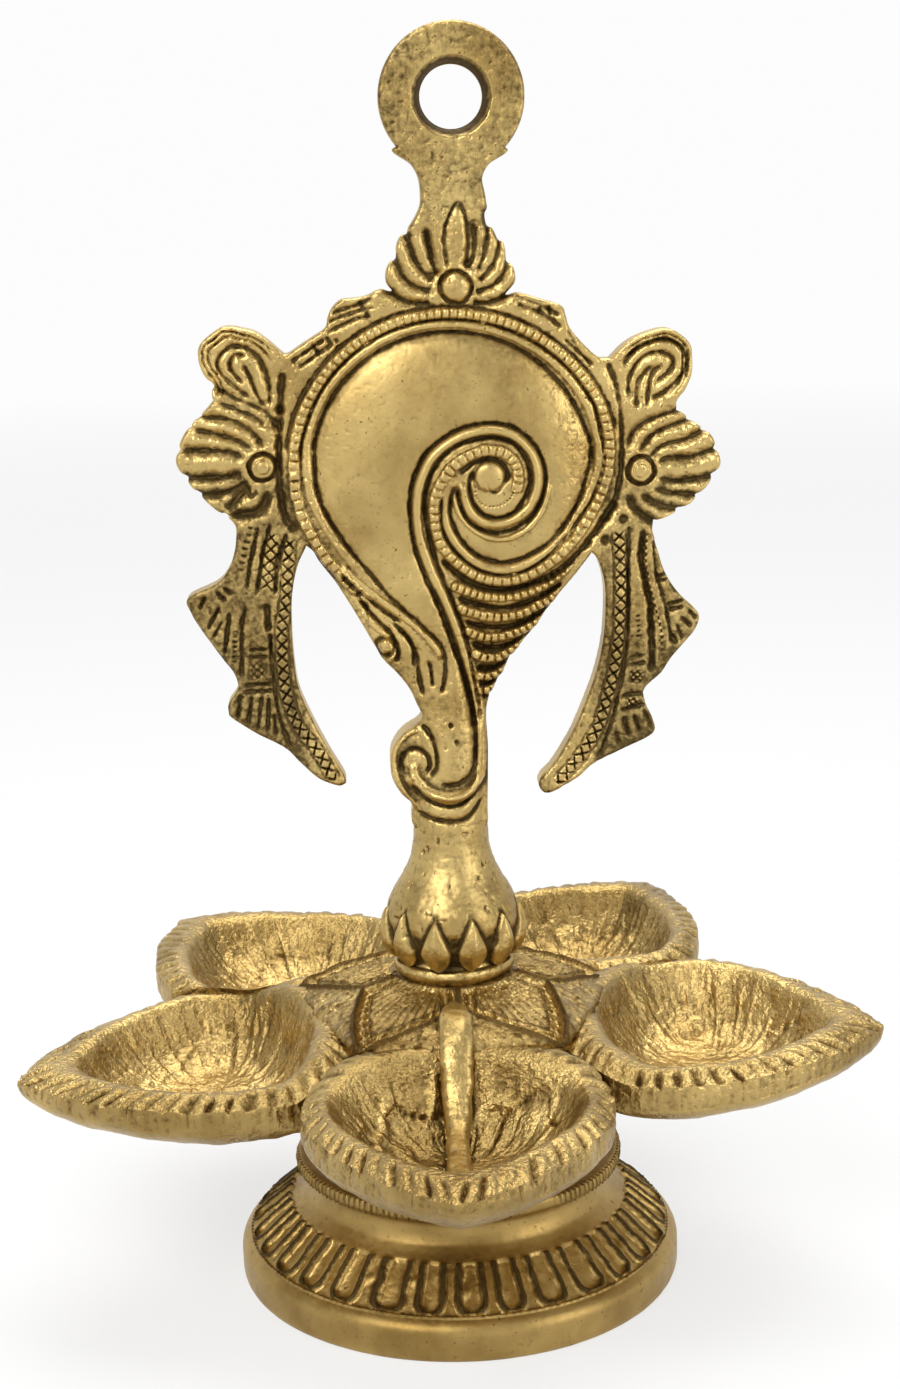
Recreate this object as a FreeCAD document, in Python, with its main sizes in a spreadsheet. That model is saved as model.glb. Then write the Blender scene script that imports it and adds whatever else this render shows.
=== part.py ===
import FreeCAD, Part
import math
import os
import PartDesign
import Sketcher
from FreeCAD import Matrix, Placement, Rotation, Vector

# Conch oil lamp: a cast finial on a tray of five leaf cups, clamped to a hollow foot by one stud.
# Millimetres, +Z up, origin at the middle of the foot's underside, front of the lamp towards -Y.

doc = FreeCAD.newDocument("conch_oil_lamp")
sheet = doc.addObject("Spreadsheet::Sheet", "sizes")

SIZES = (
    # Foot
    ("foot_radius", 45.4), ("foot_rim_height", 7.8), ("foot_step", 1.0), ("shoulder_rise", 1.4),
    ("cone_top_radius", 34.8), ("cone_rise", 6.4), ("waist_inset", 3.2), ("waist_rise", 3.4),
    ("flare_rise", 4.2), ("flange_overhang", 1.6), ("flange_edge", 2.8), ("dish_rim", 3.0),
    ("dish_depth", 1.2), ("pad_radius", 15.0), ("pad_rise", 4.0), ("foot_wall", 3.8), ("foot_web", 7.5),
    ("foot_petals", 30.0), ("foot_petal_width", 5.6), ("foot_petal_raise", 0.7),
    # Tray hub
    ("boss_radius", 14.0), ("boss_rise", 7.0), ("stem_radius", 23.0), ("stem_rise", 20.0),
    ("lotus_radius", 29.5), ("lotus_edge", 1.6), ("lotus_rise", 5.4), ("lotus_top_radius", 12.6),
    ("lotus_petals", 5.0), ("lotus_petal_width", 24.0), ("lotus_petal_raise", 0.5),
    # Leaf cups, each along its own length from the hub's axis
    ("cup_root", 20.0), ("cup_tip", 88.0), ("cup_half_width", 30.0), ("mouth_root", 27.5),
    ("mouth_tip", 77.0), ("mouth_half_width", 24.0), ("rim_fall", 1.8), ("band_depth", 5.0),
    ("belly_depth", 9.2), ("mouth_depth", 12.6),
    ("front_rim_drop", 10.0), ("right_rim_drop", 8.0), ("back_right_rim_drop", 6.0),
    ("back_left_rim_drop", 8.0), ("left_rim_drop", 9.5),
    # Strap brazed along the front cup
    ("strap_width", 5.0), ("strap_height", 3.6),
    # Finial: bulb and neck
    ("bulb_ring_radius", 11.8), ("bulb_ring_height", 3.4), ("bulb_radius", 13.7), ("neck_height", 33.0),
    ("sepals", 9.0), ("sepal_width", 7.4), ("sepal_raise", 0.9),
    # Finial: plate, which leans about a pivot above the neck
    ("pivot_above_neck", 11.0), ("aureole_radius", 30.5), ("ring_radius", 13.75),
    ("ring_hole_radius", 5.9), ("ring_bevel", 1.2), ("ring_thickness", 7.0),
    ("plate_thickness", 6.0), ("bead_thickness", 8.6), ("band_thickness", 7.8),
    ("dome_thickness", 13.0), ("body_thickness", 11.0), ("ridge_thickness", 14.2),
    ("petal_thickness", 8.6), ("knob_thickness", 10.2), ("sash_thickness", 7.4),
    # Stud, washers and nut
    ("stud_radius", 4.0), ("stud_clearance", 0.25), ("thread_clearance", 0.05), ("stud_socket", 14.0),
    ("stud_tail", 3.0),
    ("washer_radius", 8.5), ("washer_thickness", 1.6), ("lock_radius", 6.6), ("lock_thickness", 2.2),
    ("lock_slit", 1.4), ("nut_radius", 7.5), ("nut_height", 6.5),
    # Overrun past a face for cuts
    ("overrun", 2.0),
)
for row, (alias, value) in enumerate(SIZES, start=1):
    sheet.set("A%d" % row, alias)
    sheet.set("B%d" % row, "%g" % value)
    sheet.setAlias("B%d" % row, alias)
doc.recompute()

# Heights on the axis, from the floor up, as sums of named sizes
SHOULDER = "foot_rim_height + shoulder_rise"
CONE_TOP = SHOULDER + " + cone_rise"
WAIST = CONE_TOP + " + waist_rise"
FLANGE = WAIST + " + flare_rise"
FLANGE_TOP = FLANGE + " + flange_edge"
PAD = FLANGE_TOP + " + pad_rise"
WEB = PAD + " - foot_web"
STEM = PAD + " + boss_rise"
LOTUS = STEM + " + stem_rise"
LOTUS_TOP = LOTUS + " + lotus_edge"
SEAT = LOTUS_TOP + " + lotus_rise"

# Radii of the foot above its cone
WAIST_RADIUS = "cone_top_radius - waist_inset"
FLANGE_RADIUS = WAIST_RADIUS + " + flange_overhang"
DISH_RADIUS = FLANGE_RADIUS + " - dish_rim"

# Profiles turned about the lamp's axis: (radius, height) pairs
FOOT_OUTSIDE = (
    ("0", PAD),
    ("pad_radius", PAD),
    ("pad_radius", FLANGE_TOP + " - dish_depth"),
    (DISH_RADIUS, FLANGE_TOP + " - dish_depth"),
    (DISH_RADIUS, FLANGE_TOP),
    (FLANGE_RADIUS, FLANGE_TOP),
    (FLANGE_RADIUS, FLANGE),
    (WAIST_RADIUS, WAIST),
    ("cone_top_radius", CONE_TOP),
    ("foot_radius - 2 * foot_step", SHOULDER),
    ("foot_radius", "foot_rim_height"),
    ("foot_radius", "0"),
    ("0", "0"),
)
FOOT_INSIDE = (
    ("0", "0 - overrun"),
    ("foot_radius - foot_wall", "0 - overrun"),
    ("foot_radius - foot_wall", "foot_rim_height - foot_step"),
    ("cone_top_radius - foot_wall", CONE_TOP + " - 2 * foot_step"),
    (WAIST_RADIUS + " - foot_wall", WAIST + " - foot_step"),
    ("pad_radius", WEB),
    ("0", WEB),
)
HUB_OUTSIDE = (
    ("0", SEAT),
    ("lotus_top_radius", SEAT),
    ("lotus_radius", LOTUS_TOP),
    ("lotus_radius", LOTUS),
    ("stem_radius", LOTUS + " - lotus_edge"),
    ("stem_radius", STEM),
    ("boss_radius", STEM + " - lotus_edge"),
    ("boss_radius", PAD),
    ("0", PAD),
)
# Turn of the lotus that points its petals between the cups, in degrees
LOTUS_TURN_DEGREES = 18.0

# Bulb and neck: radius as a share of the bulb's, height as a share of the neck's
BULB_SHARES = ((0.73, 0.115), (0.9, 0.17), (1.0, 0.27), (0.94, 0.43), (0.82, 0.53), (0.7, 0.62),
               (0.593, 0.72), (0.53, 0.82), (0.517, 0.91), (0.517, 1.0))
SEPAL_SHARES = ((0.14, 0.36), (0.3, 0.5), (0.45, 0.0))

# Lean of the plate towards +X, in degrees
PLATE_LEAN_DEGREES = 1.4

# Cups: azimuth from +X, tilt of the tip and roll about the length in degrees,
# drop of the rim below the seat, then reach and width as shares
CUP_PLACE_SHARES = (
    ("front_cup", -92.3, 0.0, 0.0, "front_rim_drop", 0.965, 0.98),
    ("right_cup", -12.0, 0.5, 3.0, "right_rim_drop", 0.985, 1.05),
    ("back_right_cup", 56.0, 1.0, 0.0, "back_right_rim_drop", 1.0, 1.02),
    ("back_left_cup", 132.0, 0.0, 0.0, "back_left_rim_drop", 1.03, 1.08),
    ("left_cup", 192.0, -2.0, -2.0, "left_rim_drop", 1.02, 1.0),
)
LEAF_PEAK_SHARE = 0.34
TIP_FULLNESS_SHARE = 0.75
LEAF_LENGTH_SHARES = (0.0, 0.03, 0.1, 0.2, 0.34, 0.5, 0.65, 0.8, 0.92, 1.0)
BELLY_CENTRE_SHARE = 0.42
CREST_SHARE = 0.25
TIP_LIFT_SHARE = 0.55
BELLY_SHARES = ((0.0, 1.0), (0.35, 0.92), (0.65, 0.74), (0.88, 0.48), (1.0, 0.25))
MOUTH_SHARES = ((0.0, 1.0), (0.3, 0.96), (0.6, 0.86), (0.85, 0.62), (1.0, 0.35))
# Strap along the front cup: reach as a share of the mouth's, height as a share of the mouth's depth
STRAP_SHARES = ((-0.12, 0.62), (0.0, 0.5), (0.1, 0.05), (0.18, -0.5), (0.32, -0.78), (0.6, -0.82),
                (0.85, -0.5), (0.98, -0.08))

# Aureole's centre above the plate's pivot, and the ring's above the aureole's, as shares of its radius
AUREOLE_UP_SHARE = 1.925
RING_UP_SHARE = 2.272

# Outlines on the plate, in shares of the aureole's radius from its centre: (across, up).
# Each run is smooth where it has three points or more, and straight where it has two.
BODY_SHARES = (
    ((-0.90, -0.35), (-0.863, -0.551), (-0.726, -0.745), (-0.606, -0.94), (-0.492, -1.137),
     (-0.435, -1.235), (-0.339, -1.335), (-0.262, -1.435), (-0.216, -1.534), (-0.184, -1.634)),
    ((-0.184, -1.634), (-0.307, -1.733), (-0.373, -1.832), (-0.386, -1.933), (-0.373, -2.034),
     (-0.315, -2.135), (-0.243, -2.238)),
    ((-0.243, -2.238), (-0.24, -2.45)),
    ((-0.24, -2.45), (0.25, -2.45)),
    ((0.25, -2.45), (0.25, -1.84)),
    ((0.25, -1.84), (0.237, -1.638), (0.243, -1.538), (0.275, -1.439), (0.332, -1.341),
     (0.383, -1.242), (0.454, -1.144), (0.536, -1.046), (0.676, -0.851), (0.834, -0.657),
     (0.93, -0.50), (0.90, -0.35)),
    ((0.90, -0.35), (-0.90, -0.35)),
)
CREST_SHARES = (
    ((-0.335, 1.97), (-0.243, 1.863), (-0.201, 1.785), (-0.188, 1.683), (-0.195, 1.605)),
    ((-0.195, 1.605), (-0.25, 1.502), (-0.324, 1.412), (-0.349, 1.321), (-0.399, 1.23),
     (-0.40, 1.138), (-0.344, 1.047)),
    ((-0.344, 1.047), (-0.30, 0.90)),
    ((-0.30, 0.90), (0.30, 0.90)),
    ((0.30, 0.90), (0.353, 1.046)),
    ((0.353, 1.046), (0.402, 1.138), (0.395, 1.23), (0.35, 1.321), (0.319, 1.412), (0.244, 1.503),
     (0.225, 1.606)),
    ((0.225, 1.606), (0.212, 1.684), (0.193, 1.786), (0.229, 1.864), (0.321, 1.971)),
    ((0.321, 1.971), (-0.335, 1.97)),
)
LEFT_SHOULDER_SHARES = ((-0.33, 0.88), (-0.40, 1.06), (-0.69, 1.047), (-0.772, 0.955), (-0.80, 0.863),
                        (-0.93, 0.775), (-0.90, 0.40))
RIGHT_SHOULDER_SHARES = ((0.33, 0.88), (0.38, 1.06), (0.633, 1.05), (0.716, 0.954), (0.774, 0.861),
                         (0.857, 0.768), (0.95, 0.70), (0.90, 0.40))
LEFT_WING_SHARES = (
    ((-0.80, 0.50), (-0.95, 0.62)),
    ((-0.95, 0.62), (-1.116, 0.771), (-1.22, 0.845), (-1.306, 0.868), (-1.38, 0.88), (-1.448, 0.864),
     (-1.561, 0.772), (-1.576, 0.679), (-1.547, 0.587), (-1.499, 0.512), (-1.507, 0.40)),
    ((-1.507, 0.40), (-1.596, 0.307), (-1.673, 0.214), (-1.713, 0.12), (-1.728, 0.026),
     (-1.674, -0.069), (-1.601, -0.164), (-1.496, -0.26), (-1.372, -0.356)),
    ((-1.372, -0.356), (-1.361, -0.452), (-1.376, -0.548), (-1.409, -0.644), (-1.487, -0.74),
     (-1.673, -0.835)),
    ((-1.673, -0.835), (-1.656, -0.932), (-1.601, -1.03), (-1.533, -1.128), (-1.465, -1.227),
     (-1.391, -1.326), (-1.367, -1.425)),
    ((-1.367, -1.425), (-1.426, -1.523)),
    ((-1.426, -1.523), (-1.43, -1.58), (-1.409, -1.623)),
    ((-1.409, -1.623), (-1.257, -1.724), (-1.071, -1.825)),
    ((-1.071, -1.825), (-0.969, -1.927), (-0.86, -2.028), (-0.76, -2.075), (-0.698, -2.08)),
    ((-0.698, -2.08), (-0.679, -2.03)),
    ((-0.679, -2.03), (-0.793, -1.828), (-0.895, -1.627), (-0.976, -1.428), (-1.005, -1.231),
     (-1.016, -1.035), (-1.013, -0.84), (-0.979, -0.646), (-0.92, -0.51)),
    ((-0.92, -0.51), (-0.85, -0.35)),
    ((-0.85, -0.35), (-0.80, 0.50)),
)
RIGHT_WING_SHARES = (
    ((0.80, 0.50), (0.95, 0.62)),
    ((0.95, 0.62), (1.098, 0.77), (1.22, 0.835), (1.352, 0.868), (1.44, 0.835), (1.511, 0.767),
     (1.526, 0.674), (1.523, 0.581), (1.487, 0.487), (1.432, 0.393)),
    ((1.432, 0.393), (1.524, 0.298), (1.653, 0.203), (1.701, 0.108), (1.723, 0.012),
     (1.674, -0.083), (1.60, -0.179), (1.494, -0.274), (1.31, -0.37)),
    ((1.31, -0.37), (1.312, -0.466), (1.34, -0.563), (1.374, -0.661), (1.428, -0.759),
     (1.508, -0.857), (1.608, -0.956)),
    ((1.608, -0.956), (1.591, -1.054), (1.516, -1.152), (1.434, -1.251), (1.371, -1.349),
     (1.269, -1.448)),
    ((1.269, -1.448), (1.277, -1.548), (1.325, -1.649), (1.328, -1.749)),
    ((1.328, -1.749), (1.146, -1.848), (0.951, -1.947), (0.835, -2.047), (0.659, -2.146)),
    ((0.659, -2.146), (0.593, -2.112)),
    ((0.593, -2.112), (0.599, -2.044), (0.683, -1.944), (0.798, -1.744), (0.88, -1.544),
     (0.948, -1.346), (0.99, -1.148), (1.004, -0.95), (0.996, -0.756), (0.95, -0.60)),
    ((0.95, -0.60), (0.85, -0.40)),
    ((0.85, -0.40), (0.80, 0.50)),
)
# Raised work on the plate: middle lines, (across, up), with half widths at both ends
SPIRAL_SHARES = ((0.19, -1.98), (0.20, -1.75), (0.165, -1.45), (0.07, -1.08), (-0.05, -0.78),
                 (-0.16, -0.55), (-0.235, -0.33), (-0.25, -0.08), (-0.15, 0.13), (0.05, 0.25),
                 (0.24, 0.27), (0.43, 0.20), (0.56, 0.05), (0.595, -0.12), (0.54, -0.28),
                 (0.42, -0.39), (0.28, -0.43), (0.13, -0.38), (0.05, -0.26), (0.03, -0.12),
                 (0.09, 0.03), (0.23, 0.10))
HOOK_SHARES = ((0.19, -1.94), (0.12, -2.08), (-0.06, -2.13), (-0.24, -2.04), (-0.325, -1.88),
               (-0.28, -1.75), (-0.17, -1.73), (-0.13, -1.83))
LEAF_SCROLL_SHARES = ((-0.72, -0.66), (-0.52, -0.80), (-0.33, -0.97), (-0.17, -1.12), (-0.10, -1.28),
                      (-0.09, -1.42))
RIB_SHARES = (
    ((0.02, -0.70), (0.40, -0.80), (0.76, -0.70)),
    ((0.07, -0.81), (0.36, -0.92), (0.65, -0.82)),
    ((0.09, -0.94), (0.32, -1.03), (0.55, -0.94)),
    ((0.12, -1.07), (0.30, -1.14), (0.46, -1.07)),
    ((0.14, -1.20), (0.27, -1.25), (0.38, -1.19)),
    ((0.16, -1.32), (0.24, -1.35), (0.31, -1.31)),
)
LEFT_LOOP_SHARES = ((-1.10, 0.38), (-1.12, 0.56), (-1.24, 0.74), (-1.40, 0.76), (-1.47, 0.64),
                    (-1.40, 0.52), (-1.28, 0.58))
RIGHT_LOOP_SHARES = ((1.08, 0.38), (1.12, 0.56), (1.23, 0.74), (1.37, 0.75), (1.43, 0.63),
                     (1.36, 0.52), (1.25, 0.58))
LEFT_SASH_SHARES = ((-1.10, -0.42), (-1.15, -0.80), (-1.14, -1.20), (-1.06, -1.55), (-0.92, -1.84),
                    (-0.76, -2.02))
RIGHT_SASH_SHARES = ((1.09, -0.42), (1.13, -0.80), (1.11, -1.20), (1.02, -1.55), (0.86, -1.88),
                     (0.68, -2.06))
LEFT_TAIL_SHARES = ((-1.24, -0.36), (-1.27, -0.90), (-1.25, -1.30), (-1.30, -1.62))
RIGHT_TAIL_SHARES = ((1.22, -0.36), (1.25, -0.90), (1.20, -1.40), (1.24, -1.74))
LEFT_FLOWER_SHARES = (-1.19, 0.005)
RIGHT_FLOWER_SHARES = (1.213, -0.03)
CREST_FLOWER_SHARES = (0.027, 1.124)
WING_PETAL_ANGLES = (-80, -60, -40, -20, 0, 20, 40, 60, 80)
CREST_PETAL_ANGLES = (-92, -70, -48, -26, 26, 48, 70, 92)


def size(alias):
    """Value of a cell of the sheet."""
    return float(getattr(sheet, alias))


def terms(text):
    """Each term of a sum of named sizes, as its factor and its alias."""
    found = []
    for piece in text.replace("- ", "+ -").split("+"):
        word = piece.strip()
        factor = 1.0
        if word.startswith("-"):
            factor = -1.0
            word = word[1:].strip()
        if "*" in word:
            number, word = [side.strip() for side in word.split("*")]
            factor *= float(number)
        if word != "0":
            found.append((factor, word))
    return found


def total(text):
    """Value of a sum of named sizes."""
    return sum(factor * size(alias) for factor, alias in terms(text))


def formula(text):
    """The same sum as an expression on the sheet."""
    return " + ".join("%g * sizes.%s" % (factor, alias) for factor, alias in terms(text))


def origin_feature(body, role):
    return [item for item in body.Origin.OriginFeatures if item.Role == role][0]


def hold_corner(sketch, index, kind, text, axis):
    """Tie one corner's distance to the sheet, or to the axis where it is zero."""
    if not formula(text):
        sketch.addConstraint(Sketcher.Constraint("PointOnObject", index, 1, axis))
        return
    number = sketch.addConstraint(Sketcher.Constraint(kind, -1, 1, index, 1, total(text)))
    sketch.setExpression("Constraints[%d]" % number, formula(text))


def turned_sketch(body, name, points):
    """Closed profile on the body's XZ plane, each corner held by named sizes."""
    sketch = body.newObject("Sketcher::SketchObject", name)
    sketch.AttachmentSupport = (origin_feature(body, "XZ_Plane"), [""])
    sketch.MapMode = "FlatFace"
    corners = [Vector(total(across), total(up), 0) for across, up in points]
    count = len(corners)
    for index in range(count):
        sketch.addGeometry(Part.LineSegment(corners[index], corners[(index + 1) % count]), False)
    for index in range(count):
        sketch.addConstraint(Sketcher.Constraint("Coincident", index, 2, (index + 1) % count, 1))
    for index, (across, up) in enumerate(points):
        hold_corner(sketch, index, "DistanceX", across, -2)
        hold_corner(sketch, index, "DistanceY", up, -1)
    return sketch


def turn(body, kind, name, points):
    """Revolution or groove of a profile about the body's upright axis."""
    sketch = turned_sketch(body, name + "_profile", points)
    feature = body.newObject("PartDesign::" + kind, name)
    feature.Profile = sketch
    feature.ReferenceAxis = (sketch, ["V_Axis"])
    feature.Angle = 360
    return feature


def cylinder(name, radius, height, base):
    """Upright cylinder bound to named sizes."""
    piece = doc.addObject("Part::Cylinder", name)
    piece.setExpression("Radius", formula(radius))
    piece.setExpression("Height", formula(height))
    piece.setExpression("Placement.Base.z", formula(base))
    return piece


def cut(name, base, tool):
    piece = doc.addObject("Part::Cut", name)
    piece.Base = base
    piece.Tool = tool
    return piece


def fuse(name, base, tool):
    piece = doc.addObject("Part::Fuse", name)
    piece.Base = base
    piece.Tool = tool
    return piece


def shaped(name, shape):
    """Object whose shape is worked out from the sheet by this file's own functions."""
    piece = doc.addObject("Part::Feature", name)
    piece.Shape = shape
    return piece


def smooth(points):
    curve = Part.BSplineCurve()
    curve.interpolate(points)
    return curve.toShape()


def on_plate(across, up):
    """Point of the plate's middle plane from shares of the aureole's radius."""
    unit = size("aureole_radius")
    return Vector(across * unit, 0, up * unit)


def slab(edges, thickness):
    """Solid of an outline on the plate, even on both sides of the middle plane."""
    face = Part.Face(Part.Wire(edges))
    face.translate(Vector(0, -thickness / 2, 0))
    return face.extrude(Vector(0, thickness, 0))


def around(shape, count):
    """Copies of a shape, evenly spaced about the lamp's axis."""
    copies = []
    for index in range(count):
        copy = shape.copy()
        copy.rotate(Vector(0, 0, 0), Vector(0, 0, 1), 360.0 * index / count)
        copies.append(copy)
    return copies


def tongues(low, high, low_half, high_half, lift, sink, count, pointed):
    """Ring of raised tongues that lie along a cone, round or pointed at the low end."""
    along = (high - low).normalize()
    out = Vector(along.z, 0, -along.x)
    length = (high - low).Length
    shoulder = min(low_half, length / 2) if pointed else low_half
    left_low, right_low = Vector(shoulder, -low_half, 0), Vector(shoulder, low_half, 0)
    left_high, right_high = Vector(length, -high_half, 0), Vector(length, high_half, 0)
    sides = [Part.makeLine(left_low, left_high), Part.makeLine(left_high, right_high),
             Part.makeLine(right_high, right_low)]
    if pointed:
        sides += [Part.makeLine(right_low, Vector(0, 0, 0)), Part.makeLine(Vector(0, 0, 0), left_low)]
    else:
        sides.append(Part.Arc(right_low, Vector(0, 0, 0), left_low).toShape())
    tongue = Part.Face(Part.Wire(sides)).extrude(Vector(0, 0, sink + lift))
    tongue.translate(Vector(0, 0, -sink))
    lay = Matrix(along.x, 0, out.x, low.x, 0, -1, 0, 0, along.z, 0, out.z, low.z, 0, 0, 0, 1)
    tongue.Placement = Placement(lay).multiply(tongue.Placement)
    ring = around(tongue, count)
    return ring[0].multiFuse(ring[1:])


# Foot
def foot_petals():
    low = Vector(total("foot_radius - 2 * foot_step"), 0, total(SHOULDER))
    high = Vector(size("cone_top_radius"), 0, total(CONE_TOP))
    half = size("foot_petal_width") / 2
    narrow = half * size("cone_top_radius") / size("foot_radius")
    return tongues(low, high, half, narrow, size("foot_petal_raise"), size("foot_wall") / 2,
                   int(size("foot_petals")), False)


def make_foot():
    body = doc.addObject("PartDesign::Body", "foot_core")
    turn(body, "Revolution", "foot_shell", FOOT_OUTSIDE)
    turn(body, "Groove", "foot_hollow", FOOT_INSIDE)
    dressed = fuse("foot_dressed", body, shaped("foot_petal_ring", foot_petals()))
    bore = cylinder("foot_bore", "stud_radius + stud_clearance", "foot_web + 2 * overrun",
                    WEB + " - overrun")
    return cut("foot", dressed, bore)


# Tray hub
def lotus_petals():
    low = Vector(size("lotus_radius"), 0, total(LOTUS_TOP))
    high = Vector(size("lotus_top_radius"), 0, total(SEAT))
    half = size("lotus_petal_width") / 2
    narrow = half * size("lotus_top_radius") / size("lotus_radius")
    ring = tongues(low, high, half, narrow, size("lotus_petal_raise"), size("lotus_edge") / 2,
                   int(size("lotus_petals")), True)
    ring.rotate(Vector(0, 0, 0), Vector(0, 0, 1), LOTUS_TURN_DEGREES)
    return ring


def make_hub():
    body = doc.addObject("PartDesign::Body", "hub_core")
    turn(body, "Revolution", "hub_shell", HUB_OUTSIDE)
    bore = cylinder("hub_bore", "stud_radius + stud_clearance",
                    "boss_rise + stem_rise + lotus_edge + lotus_rise + 2 * overrun", PAD + " - overrun")
    dressed = fuse("hub_dressed", body, shaped("hub_petal_ring", lotus_petals()))
    return cut("tray_hub", dressed, bore)


# Leaf cups
def leaf_half_share(share):
    """Half width of a leaf at a share of its length: a round root and a pointed tip."""
    if share < LEAF_PEAK_SHARE:
        return math.sin(math.pi / 2 * share / LEAF_PEAK_SHARE) ** 0.5
    return math.cos(math.pi / 2 * (share - LEAF_PEAK_SHARE) / (1 - LEAF_PEAK_SHARE)) ** TIP_FULLNESS_SHARE


def leaf_points(root, tip, half_width):
    """Leaf outline as (along, across) points from root to tip along one side."""
    points = []
    for share in LEAF_LENGTH_SHARES:
        across = 0.0 if share >= 1 else half_width * leaf_half_share(share)
        points.append((root + (tip - root) * share, across))
    return points


def leaf_wire(points, height, shrink, centre, tip_lift=0.0):
    """Closed leaf outline at a height, drawn in about a point on its length; the tip may rise."""
    sides = []
    root, tip = points[0][0], points[-1][0]
    for sign in (1, -1):
        side = [Vector(centre + (along - centre) * shrink, sign * across * shrink,
                       height + tip_lift * ((along - root) / (tip - root)) ** 3)
                for along, across in points]
        curve = Part.BSplineCurve()
        curve.interpolate(side if sign > 0 else side[::-1])
        sides.append(curve.toShape())
    return Part.Wire(sides)


def cup_shape(reach, wide):
    """One leaf cup along +X with its rim at height zero."""
    root = size("cup_root")
    tip = root + (size("cup_tip") - root) * reach
    mouth_root = size("mouth_root")
    mouth_tip = mouth_root + (size("mouth_tip") - mouth_root) * reach
    centre = root + (tip - root) * BELLY_CENTRE_SHARE
    outer = leaf_points(root, tip, size("cup_half_width") * wide)
    mouth = leaf_points(mouth_root, mouth_tip, size("mouth_half_width") * wide)
    crest = [(inner[0] + (edge[0] - inner[0]) * CREST_SHARE, inner[1] + (edge[1] - inner[1]) * CREST_SHARE)
             for inner, edge in zip(mouth, outer)]
    fall, band = size("rim_fall"), size("band_depth")
    skins = [leaf_wire(crest, 0, 1, centre), leaf_wire(outer, -fall, 1, centre)]
    for depth_share, shrink in BELLY_SHARES:
        lift = band * TIP_LIFT_SHARE * (1 - depth_share)
        skins.append(leaf_wire(outer, -fall - band - size("belly_depth") * depth_share, shrink, centre, lift))
    hollow = [leaf_wire(mouth, size("overrun"), 1, centre)]
    for depth_share, shrink in MOUTH_SHARES:
        hollow.append(leaf_wire(mouth, -size("mouth_depth") * depth_share, shrink, centre))
    return Part.makeLoft(skins, True, True).cut(Part.makeLoft(hollow, True, True))


def wedge(start, end):
    """Tall wedge about the axis between two azimuths in degrees."""
    reach, tall = 3 * size("cup_tip"), 2 * total(SEAT)
    corners = [Vector(0, 0, 0)]
    for share in (0.0, 0.5, 1.0):
        angle = math.radians(start + (end - start) * share)
        corners.append(Vector(reach * math.cos(angle), reach * math.sin(angle), 0))
    return Part.Face(Part.makePolygon(corners + corners[:1])).extrude(Vector(0, 0, tall))


def cup_placement(azimuth, tilt, roll, drop):
    """Rim at its height, tip tilted about the lotus's edge, then turned to its azimuth."""
    pivot = Vector(size("lotus_radius"), 0, 0)
    rolled = Rotation(Vector(0, 1, 0), -tilt).multiply(Rotation(Vector(1, 0, 0), roll))
    tipped = Placement(Vector(0, 0, 0), rolled, pivot)
    turned = Placement(Vector(0, 0, total(SEAT) - size(drop)), Rotation(Vector(0, 0, 1), azimuth))
    return turned.multiply(tipped)


def strap_shape():
    """Flat bar bent over the cup's inner rim and along its floor, rim at height zero."""
    root, tip, depth = size("mouth_root"), size("mouth_tip"), size("mouth_depth")
    half_wide, half_tall = size("strap_width") / 2, size("strap_height") / 2
    line = Part.BSplineCurve()
    line.interpolate([Vector(root + (tip - root) * along, 0, depth * up) for along, up in STRAP_SHARES])
    upper, lower = [], []
    samples = 2 * len(STRAP_SHARES)
    for index in range(samples + 1):
        at = line.FirstParameter + (line.LastParameter - line.FirstParameter) * index / samples
        normal = Vector(0, 1, 0).cross(line.tangent(at)[0]) * -half_tall
        upper.append(line.value(at) + normal)
        lower.append(line.value(at) - normal)
    edges = [smooth(upper), Part.makeLine(upper[-1], lower[-1]), smooth(lower[::-1]),
             Part.makeLine(lower[0], upper[0])]
    return slab(edges, 2 * half_wide)


def make_cups(hub):
    """Cups cut flush with the hub and with each other along the planes between them."""
    cups = []
    azimuths = [place[1] for place in CUP_PLACE_SHARES]
    for index, (name, azimuth, tilt, roll, drop, reach, wide) in enumerate(CUP_PLACE_SHARES):
        before = azimuths[index - 1] - (360 if index == 0 else 0)
        after = azimuths[(index + 1) % len(azimuths)] + (360 if index == len(azimuths) - 1 else 0)
        cup = cup_shape(reach, wide)
        cup.Placement = cup_placement(azimuth, tilt, roll, drop)
        cup = cup.common(wedge((before + azimuth) / 2, (azimuth + after) / 2)).cut(hub.Shape)
        cups.append(shaped(name, largest(cup)))
    azimuth, tilt, roll, drop = CUP_PLACE_SHARES[0][1:5]
    strap = strap_shape()
    strap.Placement = cup_placement(azimuth, tilt, roll, drop)
    cups.append(shaped("cup_strap", largest(strap.cut(hub.Shape).cut(cups[0].Shape))))
    return cups


def largest(shape):
    """The one solid that is meant, without slivers left by a cut."""
    return max(shape.Solids, key=lambda solid: solid.Volume)


# Finial
def outline_slab(runs, thickness):
    edges = []
    for run in runs:
        points = [on_plate(across, up) for across, up in run]
        edges.append(Part.makeLine(*points) if len(points) == 2 else smooth(points))
    return slab(edges, thickness)


def corner_slab(corners, thickness):
    points = [on_plate(across, up) for across, up in corners]
    closed = points + points[:1]
    return slab(Part.makePolygon(closed).Edges, thickness)


def disc(across, up, radius, thickness):
    centre = on_plate(across, up) - Vector(0, thickness / 2, 0)
    return Part.makeCylinder(radius, thickness, centre, Vector(0, 1, 0))


def band(outer_share, inner_share, thickness):
    unit = size("aureole_radius")
    return disc(0, 0, outer_share * unit, thickness).cut(disc(0, 0, inner_share * unit, thickness))


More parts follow.
